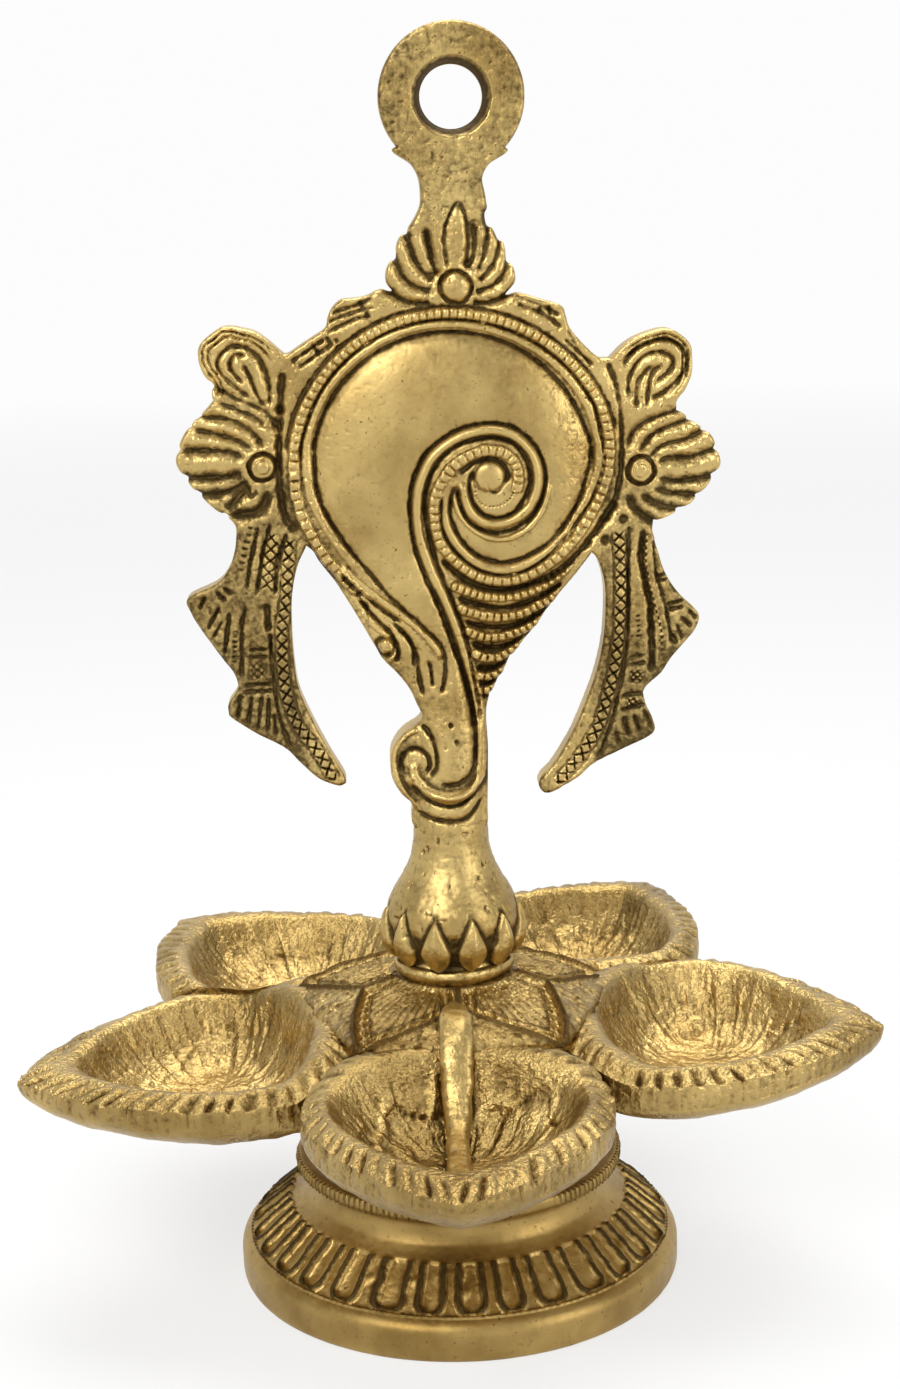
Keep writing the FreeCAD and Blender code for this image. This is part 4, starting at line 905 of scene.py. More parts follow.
def plain_plate(relief):
    """Give the relief its plain swelling form and polish; returns the silhouette field."""
    outlines = [shares(points) for points in (BODY, CREST, LEFT_WING, RIGHT_WING)]
    outlines += [spline(on_plate(points, 2), 0.4, closed=True) for points in (LEFT_SHOULDER, RIGHT_SHOULDER)]
    edge = np.maximum(relief.disc(AUREOLE, UNIT + 0.4), relief.disc(RING, RING_RADIUS - 0.05))
    for outline in outlines:
        edge = np.maximum(edge, relief.depth(outline, 4.0))
    edge = np.minimum(edge, -relief.disc(RING, RING_HOLE))
    up, across = relief.up[:, None], relief.across[None, :]

    # The shell swells towards its middle, and the trunk under it grows round
    shell = np.maximum(relief.disc(AUREOLE, 26.6), relief.depth(outlines[0], 27.0))
    shell = blur(np.clip(shell, 0, 26), 1.6 / relief.step)
    swell = 3.0 + 4.0 * (1 - np.exp(-shell / 9.0))
    round_section = np.sqrt(np.clip(TRUNK_RADIUS ** 2 - (across - 0.1) ** 2, 0, None))
    trunk = smoothstep(-up, -22.0, 4.0)
    swell = swell * (1 - trunk) + np.maximum(swell, round_section) * trunk
    wing = smoothstep(-relief.disc(AUREOLE, UNIT + 0.6), -0.6, 0.6) * smoothstep(up, 0, 8)
    height = swell * (1 - wing) + WING_HALF * wing
    height = np.where((up < 32) & (np.abs(across) < 16.0), swell, height)
    ring = smoothstep(relief.disc(RING, RING_RADIUS + 3.0), -1.0, 2.0)
    relief.height = height * (1 - ring) + RING_HALF * ring
    relief.form = relief.height.copy()

    # Rubbed bright: the middle of the shell, its swelling, and the front of the trunk
    middle = smoothstep(relief.disc(on_plate((440, 440), 6)[0], 25.0), -1.0, 5.0)
    swelling = 0.85 * smoothstep(shell, 2.5, 5.5) * smoothstep(up, 22.0, 34.0)
    front = 0.55 * smoothstep(-up, -34.0, 8.0) * smoothstep(-np.abs(across), -13.0, 3.0)
    relief.polish = np.maximum(np.maximum(middle, swelling), front)
    return edge


def carve_shell(relief):
    """Aureole, spine, hook, eye, ribs and scroll."""
    groove, ridge, bars = relief.groove, relief.ridge, relief.bars
    bead = np.vstack([BEAD_LEFT, arc(157, 167.5, 156.9, 174, 24), BEAD_SPIRAL])
    band = np.vstack([BAND_LEFT, arc(145, 155, 145.1, 172, 24), BAND_SPIRAL])
    gutter = np.vstack([GUTTER_LEFT, arc(137.4, 143, 138, 171, 24), GUTTER_SPIRAL])
    parting = np.vstack([arc(150.6, 160.5, 150.6, 176, 24), PARTING_SPIRAL])
    outer, inner = arc(166, 173.5, 163.6, 174, 14), arc(141, 149, 141.5, 168, 30)
    # After its lines and their level, a groove has half width, depth, how far the ground beside it rolls
    # down, how wide, and its taper; a ridge has half width and rise; bars have half width, rise, pitches,
    # and width and depth of the slits between them
    relief.work((
        # Aureole: barred band, smooth band, and both winding on under the shell to its eye
        (groove, [gutter], 5, 0.32, 0.65, 0.55, 1.3),
        (groove, [parting], 5, 0.26, 0.55, 0.25, 0.9),
        (groove, [outer], 5, 0.34, 0.45, 0.3, 1.1),
        (groove, [SHELL_UNDERCUT], 5.5, 0.6, 1.3, 0.4, 1.6),
        (ridge, [band], 5, 1.05, 0.55),
        (groove, [inner], 5, 0.22, 0.28),
        (bars, [bead], 5, 1.2, 0.9, BEAD_PITCHES, 0.16, 0.5),
        # Spine, the coil it winds into, lips and hook
        (ridge, [SPINE], 6.5, 1.05, 1.0),
        (groove, [SPINE_LEFT], 6, 0.32, 0.75, 0.45, 1.3),
        (groove, [SPINE_RIGHT], 6, 0.36, 0.8, 0.3, 1.0),
        (ridge, [COIL_OUTER], 6.5, 0.65, 0.7),
        (groove, [COIL_TOP], 6.5, 0.36, 0.7, 0.3, 0.9),
        (groove, [TRUNK_GROOVE], 6.5, 0.34, 0.6, 0.25, 0.9),
        (ridge, [LIP], 7, 1.15, 0.8),
        (ridge, [HOOK_EDGE], 5, 0.85, 0.7),
        (groove, LIP_GROOVES, 7, 0.36, 0.8, 0.3, 1.0),
        (groove, HOOK_GROOVES, 6, 0.36, 0.8, 0.4, 1.0),
    ))
    for place in on_plate(TRUNK_PITS, 6.5):
        relief.pit(place, 0.45, 0.8)
    relief.boss(on_plate(KNOB, 6.5)[0], 2.9, 0.9, moat=0.3)
    relief.work([(groove, [KNOB_CURL], 7, 0.22, 0.4)])
    for dot in on_plate(spline(DOTS, 4.6), 6.5):
        relief.pit(dot, 0.22, 0.5)
    relief.work((
        # Knurled ribs below the shell
        (bars, RIBS, 5.5, 1.05, 1.1, RIB_PITCHES, 0.17, 0.6),
        (groove, RIB_GAPS, 5.5, 0.36, 0.95, 0.4, 0.9, 0.6),
        # Leaf scroll on the left of the trunk
        (ridge, [SCROLL_EDGE], 5, 0.8, 0.8),
        (ridge, [SCROLL_RIM], 5, 0.7, 0.6),
        (groove, SCROLL_GROOVES, 5, 0.34, 0.8, 0.35, 1.1),
    ))
    relief.boss(on_plate(SCROLL_EYE)[0], 1.5, 0.6)


def carve_wings(relief, edge):
    """Crest, flowers, shoulders and sashes; some cuts nick the silhouette.

    Zigzags and ticks have half width, depth and pitch after their level.
    """
    groove, zigzag, ticks = relief.groove, relief.zigzag, relief.ticks
    # Lotus of the crest, and the two flowers with their loops
    relief.work([(groove, CREST_GROOVES[:2], WING_LEVEL, 0.25, 0.55, 0.35, 0.9)])
    for number, line in enumerate(CREST_GROOVES[2:]):
        cut = spline(on_plate(reaching(line, 0 if number in (0, 4) else 9), WING_LEVEL))
        relief.groove(cut, 0.28, 0.45, 1.25, 1.15, 0.3)
        relief.nick(edge, cut, 0.6, 0.6)
    relief.boss(on_plate(CREST_BOSS, WING_LEVEL)[0], 2.75, 1.0)
    for line in LEFT_FAN + RIGHT_FAN:
        cut = spline(on_plate(reaching(line, 9), WING_LEVEL))
        relief.groove(cut, 0.26, 0.40, 1.2, 1.15, 2.0)
        relief.nick(edge, cut, 0.6, 0.5)
    relief.work([(groove, LEFT_LOOPS + RIGHT_LOOPS, WING_LEVEL, 0.30, 0.5, 0.7, 0.9)])
    # Threads that follow the outline of the two loops above the flowers
    for place in on_plate(LOOP_MIDDLES, WING_LEVEL):
        lobe = smoothstep(relief.disc(place, 8.5), 0.0, 2.5)
        for inset in (0.95, 1.95):
            thread = bell(edge + relief.wobble - inset, 0.24)
            relief.height -= 0.55 * lobe * relief.uneven * thread
    for place in (LEFT_BOSS, RIGHT_BOSS):
        relief.boss(on_plate(place, WING_LEVEL)[0], 2.3, 1.1, 1.4)
    relief.work((
        (groove, [LOBE_CURL], WING_LEVEL, 0.3, 0.5),
        (groove, SIDE_GAPS[:1], WING_LEVEL, 0.62, 1.0, 0.5, 1.6),
        (groove, SIDE_GAPS[1:], WING_LEVEL, 0.40, 0.7, 0.5, 1.6),
    ))
    for place in on_plate(SIDE_PITS, WING_LEVEL):
        relief.pit(place, 0.9, 1.2)
    relief.work((
        (groove, SHOULDER_CUTS, WING_LEVEL, 0.30, 0.55, 0.35, 0.9, 0.6),
        # Sashes
        (groove, LEFT_SASH + RIGHT_SASH, WING_LEVEL, 0.27, 0.6, 0.3, 0.8, 0.6),
        (groove, [LEFT_SLOT, RIGHT_SLOT], WING_LEVEL, 0.55, 1.2, 0.3, 1.2),
        (zigzag, [LEFT_ZIGZAG, RIGHT_ZIGZAG], WING_LEVEL, 1.35, 0.7, 2.5),
        (zigzag, [RIGHT_SMALL_ZIGZAG], WING_LEVEL, 0.6, 0.45, 1.3),
        (zigzag, [LEFT_PANEL], WING_LEVEL, 1.7, 0.6, 2.3),
        (zigzag, [LEFT_PANEL_LOW], WING_LEVEL, 1.6, 0.4, 1.4),
        (zigzag, [RIGHT_PANEL, RIGHT_PANEL_LOW], WING_LEVEL, 1.5, 0.4, 1.3),
        (ticks, [LEFT_NICKS], WING_LEVEL, 0.7, 0.45, 1.4),
        (ticks, [LEFT_COLUMN, RIGHT_TICKS], WING_LEVEL, 0.6, 0.45, 1.0),
    ))


def carve(relief):
    """Whole face of the plate; returns its silhouette field."""
    edge = plain_plate(relief)
    carve_shell(relief)
    carve_wings(relief, edge)
    # Bevel round the hanging ring's hole
    into = -relief.disc(RING, RING_HOLE)
    bevel = 1.0 + 1.5 * np.clip(into, 0, None)
    relief.height = np.where(into < 1.9, np.minimum(relief.height, bevel), relief.height)
    return edge


def contour_mesh(relief, edge, height):
    """Points and faces of the grid inside the silhouette, and the silhouette's own segments."""
    columns = relief.shape[1]
    solid = edge > 0
    points, heights, index = [], [], {}

    def corner(row, column):
        """Number of a grid point, kept once."""
        key = row * columns + column
        if key not in index:
            index[key] = len(points)
            points.append((relief.across[column], relief.up[row]))
            heights.append(height[row, column])
        return index[key]

    def crossing(first, second):
        """Number of the point where the silhouette crosses between two grid points, kept once."""
        key = (first, second) if first < second else (second, first)
        if key not in index:
            share = edge[first] / (edge[first] - edge[second])
            share = min(max(share, 0.02), 0.98)
            row = first[0] + (second[0] - first[0]) * share
            column = first[1] + (second[1] - first[1]) * share
            index[key] = len(points)
            points.append((relief.across[0] + column * relief.step, relief.up[0] + row * relief.step))
            heights.append(height[first] * (1 - share) + height[second] * share)
        return index[key]

    full = solid[:-1, :-1] & solid[:-1, 1:] & solid[1:, :-1] & solid[1:, 1:]
    some = solid[:-1, :-1] | solid[:-1, 1:] | solid[1:, :-1] | solid[1:, 1:]
    faces, rim = [], []
    for row, column in np.argwhere(full):
        faces.append((corner(row, column), corner(row, column + 1), corner(row + 1, column + 1),
                      corner(row + 1, column)))
    for row, column in np.argwhere(some & ~full):
        around = [(row, column), (row, column + 1), (row + 1, column + 1), (row + 1, column)]
        inner = [solid[place] for place in around]
        face, cut = [], []
        for k in range(4):
            here, there = around[k], around[(k + 1) % 4]
            if inner[k]:
                face.append(corner(*here))
            if inner[k] != inner[(k + 1) % 4]:
                number = crossing(here, there)
                face.append(number)
                cut.append((number, inner[k]))
        if len(face) >= 3:
            faces.append(tuple(face))
        if len(cut) == 2:
            leaving = cut[0][0] if cut[0][1] else cut[1][0]
            entering = cut[1][0] if cut[0][1] else cut[0][0]
            rim.append((leaving, entering))
        elif len(cut) == 4:
            start = 0 if cut[0][1] else 1
            rim.append((cut[start][0], cut[(start + 1) % 4][0]))
            rim.append((cut[(start + 2) % 4][0], cut[(start + 3) % 4][0]))
    return np.array(points), np.array(heights), faces, rim


def plate_points(flat, level):
    """Points of the leaning plate, level towards the front, as lamp coordinates."""
    across = flat[:, 0] * math.cos(LEAN) + flat[:, 1] * math.sin(LEAN)
    up = -flat[:, 0] * math.sin(LEAN) + flat[:, 1] * math.cos(LEAN) + PIVOT
    return np.stack([across, -level, up], -1)


def make_plate(name, relief, edge, height, shades, front, bands):
    """One face of the plate with half of its side wall, in bands that keep each mesh small."""
    flat, level, faces, rim = contour_mesh(relief, edge, height)
    sign = 1 if front else -1
    top = plate_points(flat, sign * level)
    points = [top]
    values = [np.stack([sample(relief, shade, flat) for shade in shades], -1)]
    count = len(top)
    # Side wall from the face down to the parting line
    rim = np.array(rim)
    used, place = np.unique(rim, return_inverse=True)
    place = place.reshape(rim.shape)
    previous = used
    walls = []
    for share in WALL_LEVELS:
        roughness = 0.05 * noise(top[used], 1.1, share)
        ring = plate_points(flat[used], sign * (level[used] * share + (roughness if share else 0.0)))
        points.append(ring)
        values.append(np.zeros((len(used), len(shades))))
        numbers = count + np.arange(len(used))
        count += len(used)
        for a, b in place:
            walls.append((previous[b], previous[a], numbers[a], numbers[b]))
        previous = numbers
    points, values = np.vstack(points), np.vstack(values)
    faces = [tuple(face) for face in faces] + walls
    if not front:
        faces = [face[::-1] for face in faces]
    heights = np.array([points[face[0], 2] for face in faces])
    cuts = np.quantile(heights, np.linspace(0, 1, bands + 1))
    cuts[0], cuts[-1] = -1e9, 1e9
    for band in range(bands):
        kept = [face for face, high in zip(faces, heights) if cuts[band] <= high < cuts[band + 1]]
        numbers, inverse = np.unique(np.concatenate([np.array(face) for face in kept]), return_inverse=True)
        local, start = [], 0
        for face in kept:
            local.append(tuple(inverse[start:start + len(face)]))
            start += len(face)
        label = "%s_%d" % (name, band + 1) if bands > 1 else name
        add_piece(label, points[numbers], local, CAST, ("conch_finial",),
                  {"cavity": values[numbers, 0], "polish": values[numbers, 1]}, 60.0)


def sample(relief, field, flat):
    """Field's values at points of the plate, nearest grid point."""
    cell = ((flat - (relief.across[0], relief.up[0])) / relief.step).round().astype(int)
    column, row = np.clip(cell, 0, (relief.shape[1] - 1, relief.shape[0] - 1)).T
    return field[row, column]


def finish_face(relief, edge, raw, rounding, rough):
    """Grain on a face, its rounded edge, and how hollow each point is."""
    inside = edge > 0
    up, across = np.meshgrid(relief.up, relief.across, indexing="ij")
    place = np.stack([across, up, np.zeros_like(up)], -1)
    grain = layers(place, (0.10, 3.0, 1), (0.08, 1.3, 2), (0.05, 0.6, 3))
    dent = np.clip(noise(place, 0.9, 55) - 0.55, 0, 1) * 0.5
    face = raw + rough * (grain - dent) * (1 - 0.8 * relief.polish)
    work = face - relief.form
    cavity = (work - blur(work, 0.8 / relief.step, inside)) * 1.3
    cavity = cavity + (work - blur(work, 2.0 / relief.step, inside)) * 0.45
    drop = rounding * (1 - np.sqrt(np.clip(1 - (1 - np.clip(edge / rounding, 0, 1)) ** 2, 0, 1)))
    face = np.maximum(face - drop, 0.6)
    # Darker on the lower sides of the wings, on the upper crest and the ring, and below the shell, with
    # random dark blotches; less where polished
    aside = smoothstep(np.abs(across), 27.0, 31.0)
    darkening = 0.10 + 0.55 * aside * smoothstep(66.0 - up, 0.0, 16.0)
    darkening = darkening + 0.16 * smoothstep(noise(place, 9.0, 71), -0.1, 0.6) * (1 - relief.polish)
    darkening = darkening + 0.22 * smoothstep(up, 92.0, 104.0) + 0.2 * smoothstep(30.0 - up, 0.0, 10.0)
    cavity = cavity - darkening * (1 - 0.9 * relief.polish)
    return face, np.clip(cavity, -1, 1), relief.polish


def make_finial_plate():
    """Carved front in three bands, and a softer, coarser rear."""
    relief = Relief(0.2)
    edge = carve(relief)
    face, *shades = finish_face(relief, edge, relief.height, 0.9, 1.0)
    make_plate("finial_face", relief, edge, face, shades, True, 3)
    rear = Relief(0.42)
    edge = carve(rear)
    face, *shades = finish_face(rear, edge, blur(rear.height, 0.5 / rear.step, edge > 0), 1.1, 1.3)
    make_plate("finial_rear", rear, edge, face, shades, False, 1)


# Bulb and neck of the finial
BULB_RADIUS, NECK_TALL = 13.7, 33.0
BULB_TORUS = ((4.0, 0.02), (10.6, 0.02), (11.6, 0.25), (12.2, 1.1), (12.25, 1.9), (11.9, 2.7), (11.0, 3.2))
BULB_SKIN = (
    (0.80, 0.10), (0.93, 0.17), (1.0, 0.27), (0.955, 0.43), (0.84, 0.53), (0.715, 0.62), (0.61, 0.72),
    (0.555, 0.82), (0.545, 0.90), (0.54, 0.935), (0.51, 0.97), (0.40, 0.995), (0.1, 1.0),
)
# Sepals: number, azimuth of the first, half width, heights of root and tip, share at which they are broadest
SEPALS, SEPAL_TURN, SEPAL_HALF = 11, -75.6, 3.15
SEPAL_LOW, SEPAL_TIP, SEPAL_BROAD = 3.3, 14.2, 0.36


def make_bulb():
    """Torus, bulb with a row of pointed sepals in dark hollows, and round neck."""
    skin = spline([(BULB_RADIUS * across, NECK_TALL * up) for across, up in BULB_SKIN], 0.3)
    profile = np.vstack([spline(BULB_TORUS, 0.3), skin])
    grid, normal, angle = turned(profile, 420)
    up = profile[:, 1:2]
    pitch = 2 * math.pi / SEPALS
    turn = (angle - math.radians(SEPAL_TURN)) / pitch
    wander = 0.35 * noise(grid, 4.0, 61)
    offset = (turn - np.round(turn))[None, :] * pitch * BULB_RADIUS + wander
    share = (up - SEPAL_LOW) / (SEPAL_TIP - SEPAL_LOW) + 0.04 * noise(grid, 3.0, 62)
    round_end = dome(1 - np.clip(share, 0, SEPAL_BROAD) / SEPAL_BROAD, 1.0)
    point = np.clip(1 - (share - SEPAL_BROAD) / (1 - SEPAL_BROAD), 0, 1) ** 0.8
    half = SEPAL_HALF * np.where(share < SEPAL_BROAD, round_end, point)
    inside = half - np.abs(offset)
    # Raised sepals, with dark hollows between their roots
    zone = smoothstep(share, -0.03, 0.05) * smoothstep(1.14 - share, 0, 0.1)
    petal = zone * np.sqrt(np.clip(inside / 2.4, 0, 1)) * 1.35
    between = np.clip(-inside - 0.1, 0, None)
    hollow = zone * smoothstep(0.80 - share, 0, 0.35) * (0.35 + 0.55 * np.clip(between / 1.2, 0, 1))
    hollow = hollow * smoothstep(-inside, -0.3, 0.3) + zone * 0.3 * bell(inside + 0.25, 0.4)
    # Casting texture, pits, and file marks round the neck
    shade = petal - hollow
    shade = shade + layers(grid, (0.10, 2.2, 4), (0.06, 0.9, 5))
    pits = np.clip(noise(grid, 1.0, 6) - 0.62, 0, 1) * smoothstep(up, 5, 12) * 1.2
    shade = shade - pits
    filed = noise(grid, (4.0, 4.0, 0.55), 8) * smoothstep(up, 10, 20)
    shade = shade + 0.06 * filed - 0.25 * hollow * noise(grid, 0.7, 63)
    shade = shade + 0.35 * noise(grid, 4.5, 64) * smoothstep(4.5 - up, 0, 1.5)
    grid = grid + normal * shade[..., None]
    grid[..., 2] = np.maximum(grid[..., 2], 0.0) + SEAT
    cavity = np.clip((shade - blur(shade, 5.0)) * 1.5 - 0.10 - 0.8 * hollow, -1, 1)
    polish = np.broadcast_to(0.75 * smoothstep(up, 8, 15), cavity.shape)
    shades = {"cavity": cavity, "polish": polish}
    ring_grid("finial_bulb", grid, CAST, ("conch_finial",), shades)


# Tray hub: lotus top with five beaded petals, and round stem
# Half of a petal's angle, and the azimuths of the petals' middles, over the joints between the cups
PETAL_HALF = 36.0
GAPS = tuple(90.0 - 2 * PETAL_HALF * k for k in range(5))
HUB_TOP = (
    (4.3, SEAT), (12.6, SEAT), (20.0, 62.0), (26.0, 59.9), (29.2, LOTUS_TOP - 0.2), (29.5, 57.6),
    (29.0, 54.4),
)
HUB_STEM = (
    (29.0, 54.4), (23.2, 53.4), (22.6, 50.0), (22.6, 41.0), (22.0, 38.2), (18.0, 36.0), (14.3, 35.2),
    (14.0, 33.0), (14.0, 30.1), (4.3, 30.0), (4.3, SEAT),
)


def make_stem():
    """Round stem under the lotus, and the hub's bore."""
    profile = soften(resample(HUB_STEM, 0.8), 2)
    grid, normal, _ = turned(profile, 240)
    shade = layers(grid, (0.15, 2.4, 11), (0.10, 1.0, 12))
    on_stem = smoothstep(profile[:, :1], 13.0, 14.0) * smoothstep(54.4 - profile[:, 1:], 0.0, 1.5)
    grid = grid + normal * (shade * on_stem)[..., None]
    # The stem standing in the shadow under the cups is painted darker all over, a painted shade
    ring_grid("hub_stem", grid, CUP, ("tray_hub",), {"cavity": shade - 0.25}, (False, False))


def make_lotus():
    """Lotus on the hub: five petals with beaded edges, their points over the joints between the cups."""
    profile = soften(resample(HUB_TOP, 0.36), 3)
    grid, normal, angle = turned(profile, 840)
    radius = profile[:, :1]
    on_top = (profile[:, 1:2] > 57.0) & (radius > 11.0)
    shade = np.zeros(grid.shape[:2])
    azimuth = np.degrees(angle)
    off = np.min([np.abs((azimuth - gap + 180) % 360 - 180) for gap in GAPS], axis=0)
    # Share of the way from a petal's middle line to the parting
    aside = off[None, :] / PETAL_HALF
    # Outline of a petal: a parting between petals, then out to its point
    reach = 19.0 + 10.4 * (1 - aside ** 1.05) ** 1.05
    beside = np.radians(PETAL_HALF * (1 - aside)) * radius
    gap = np.maximum(radius - reach, 0.55 - beside)
    gap = gap + 0.20 * noise(grid, 2.0, 65)
    on_top = on_top * smoothstep(radius, 12.5, 13.5)
    beads = 0.5 + 0.5 * np.cos(2 * math.pi * (aside * 14 + radius * 0.55))
    for shift in (0.0, -1.6):
        shade += on_top * (0.2 + 1.1 * beads) * bell(gap - shift + 0.75, 0.48)
    shade += on_top * 0.55 * smoothstep(-gap, -0.2, 0.5)
    shade -= on_top * 0.8 * bell(gap - 0.35, 0.5)
    shade -= on_top * 0.4 * bell(gap + 3.2, 0.35)
    vein = np.cos(2 * math.pi * (aside * PETAL_HALF / 4.2) + 0.5 * noise(grid, 5.0, 66))
    shade -= on_top * 0.42 * (gap < -3.2) * np.clip(vein - 0.30, 0, 1)
    pitted = np.clip(noise(grid, 1.0, 67) - 0.25, 0, 1)
    shade += layers(grid, (0.22, 2.4, 11), (0.16, 1.0, 12)) - 0.7 * pitted * (gap > 0.6)
    shade += 0.35 * noise(grid, 3.4, 72) * smoothstep(radius, 24.0, 28.5)
    # Draw the petals' points out
    point = smoothstep(radius, 15.0, 29.0) * smoothstep(profile[:, 1:2], 53.4, 55.5)
    point = point * np.clip(1 - aside / 0.75, 0, 1) ** 1.2
    grid[..., :2] *= (1 + 0.13 * point)[..., None]
    grid[..., 2] -= 0.9 * point ** 2
    seam = smoothstep(radius, 4.4, 6.0) * smoothstep(profile[:, 1:2], 54.4, 55.2)
    grid = grid + normal * (shade * seam)[..., None]
    cavity = np.clip((shade - blur(shade, 5.5)) * 1.5 - 0.16 - 0.15 * (gap > 0) * on_top, -1, 1)
    ring_grid("hub_lotus", grid, CUP, ("tray_hub",), {"cavity": cavity}, (False, False))


# Leaf cups: ends and half widths of leaf and mouth, depths, and the shape of the outline
CUP_ROOT, CUP_TIP, CUP_HALF, MOUTH_ROOT, MOUTH_TIP, MOUTH_HALF = 20.0, 88.0, 30.0, 29.6, 77.0, 24.0
RIM_FALL, BAND_DEEP, BELLY_DEEP, MOUTH_DEEP = 1.8, 5.0, 9.2, 12.6
LEAF_PEAK, TIP_FULL = 0.34, 0.75
ROOT_TOP = 57.9
NOTCH_PITCH, NOTCH_SLANT = 4.1, 3.0
# Parts of a cup's grid, from the middle of its well over the rim and down to the middle of its belly
WELL, RIM, BAND, BELLY = range(4)
WELL_ROWS, RIM_ROWS, BAND_ROWS, BELLY_ROWS = 44, 16, 9, 30


def leaf_half(share):
    """Half width of a leaf at a share of its length: a round root and a pointed tip."""
    share = np.clip(share, 0, 1)
    root = np.sin(math.pi / 2 * np.minimum(share, LEAF_PEAK) / LEAF_PEAK) ** 0.5
    tip = np.cos(math.pi / 2 * np.maximum(share - LEAF_PEAK, 0) / (1 - LEAF_PEAK)) ** TIP_FULL
    return np.where(share < LEAF_PEAK, root, tip)


def leaf_loop(root, tip, half, columns):
    """Closed leaf outline with evenly spread points from the root round the tip and back."""
    share = (1 - np.cos(np.linspace(0, math.pi, 400))) / 2
    side = np.stack([root + (tip - root) * share, half * leaf_half(share)], -1)
    loop = np.vstack([side, side[-2:0:-1] * (1, -1)])
    loop = np.vstack([loop, loop[:1]])
    length = np.concatenate([[0], np.cumsum(np.linalg.norm(np.diff(loop, axis=0), axis=1))])
    spread = np.linspace(0, length[-1], columns, endpoint=False)
    return np.stack([np.interp(spread, length, loop[:, k]) for k in (0, 1)], -1), spread


def cup_form(index):
    """Plain grid of a cup, the part that each row is in, shares of the way through them, run and tip."""
    drop, reach, wide = CUPS[index][4:]
    tip = CUP_ROOT + (CUP_TIP - CUP_ROOT) * reach
    mouth_tip = MOUTH_ROOT + (MOUTH_TIP - MOUTH_ROOT) * reach
    columns = 460
    outer, run = leaf_loop(CUP_ROOT, tip, CUP_HALF * wide, columns)
    mouth, _ = leaf_loop(MOUTH_ROOT, mouth_tip, MOUTH_HALF * wide, columns)
    centre = np.array([CUP_ROOT + (tip - CUP_ROOT) * 0.42, 0.0])
    rows, flats, kinds = [], [], []

    def add(loop, height, kind):
        """One more row of the grid."""
        flats.append(loop)
        rows.append(np.broadcast_to(height, (columns,)).astype(float))
        kinds.append(kind)

    mouth_centre = np.array([MOUTH_ROOT + (mouth_tip - MOUTH_ROOT) * 0.45, 0.0])
    for share in np.linspace(0.04, 1.0, WELL_ROWS):
        fall = MOUTH_DEEP * (1 - share ** 3.2) ** 0.9
        add(mouth_centre + (mouth - mouth_centre) * (0.30 * share + 0.70 * share ** 0.8), -fall, WELL)
    for share in np.linspace(0.08, 1.0, RIM_ROWS):
        bulge = 0.55 * math.sin(math.pi * share)
        add(mouth + (outer - mouth) * share, bulge - RIM_FALL * share ** 1.6, RIM)
    along = (outer[:, 0] - CUP_ROOT) / (tip - CUP_ROOT)
    lift = BAND_DEEP * 0.55 * along ** 3
    for share in np.linspace(0.12, 1.0, BAND_ROWS):
        add(centre + (outer - centre) * (1 + 0.006 * math.sin(math.pi * share)),
            -RIM_FALL - (BAND_DEEP - lift) * share, BAND)
    for share in np.linspace(0.05, 1.0, BELLY_ROWS):
        shrink = max(0.02, (1 - share ** 1.9) ** 0.62)
        add(centre + (outer - centre) * shrink, -RIM_FALL - BAND_DEEP + lift * (1 - share)
            - BELLY_DEEP * share ** 1.15, BELLY)
    flat, height, kind = np.array(flats), np.array(rows), np.array(kinds)[:, None]
    row = np.arange(len(rows))[:, None]
    well, rim, band, belly = (kind == part for part in (WELL, RIM, BAND, BELLY))
    inner_share = np.clip((row + 1) / WELL_ROWS, 0, 1)
    rim_share = np.clip((row + 1 - WELL_ROWS) / RIM_ROWS, 0, 1)
    band_share = np.clip((row + 1 - WELL_ROWS - RIM_ROWS) / BAND_ROWS, 0, 1)
    # The root rises to meet the lotus
    rise = max(0.0, min(3.8, ROOT_TOP - (SEAT - drop)))
    weight = np.select([well, rim, band], [inner_share ** 3, 1.0, 1 - band_share], 0)
    height = height + rise * weight * smoothstep(41.0 - flat[..., 0], 0, 11)
    # The mouth rolls over softly from the rim into the wall
    low, high = WELL_ROWS - 9, WELL_ROWS + 8
    for _ in range(7):
        height[low:high] = (height[low - 1:high - 1] + 2 * height[low:high] + height[low + 1:high + 1]) / 4
    grid = np.concatenate([flat, height[..., None]], -1)
    return grid, (well, rim, band, belly), (inner_share, rim_share, band_share), run, tip


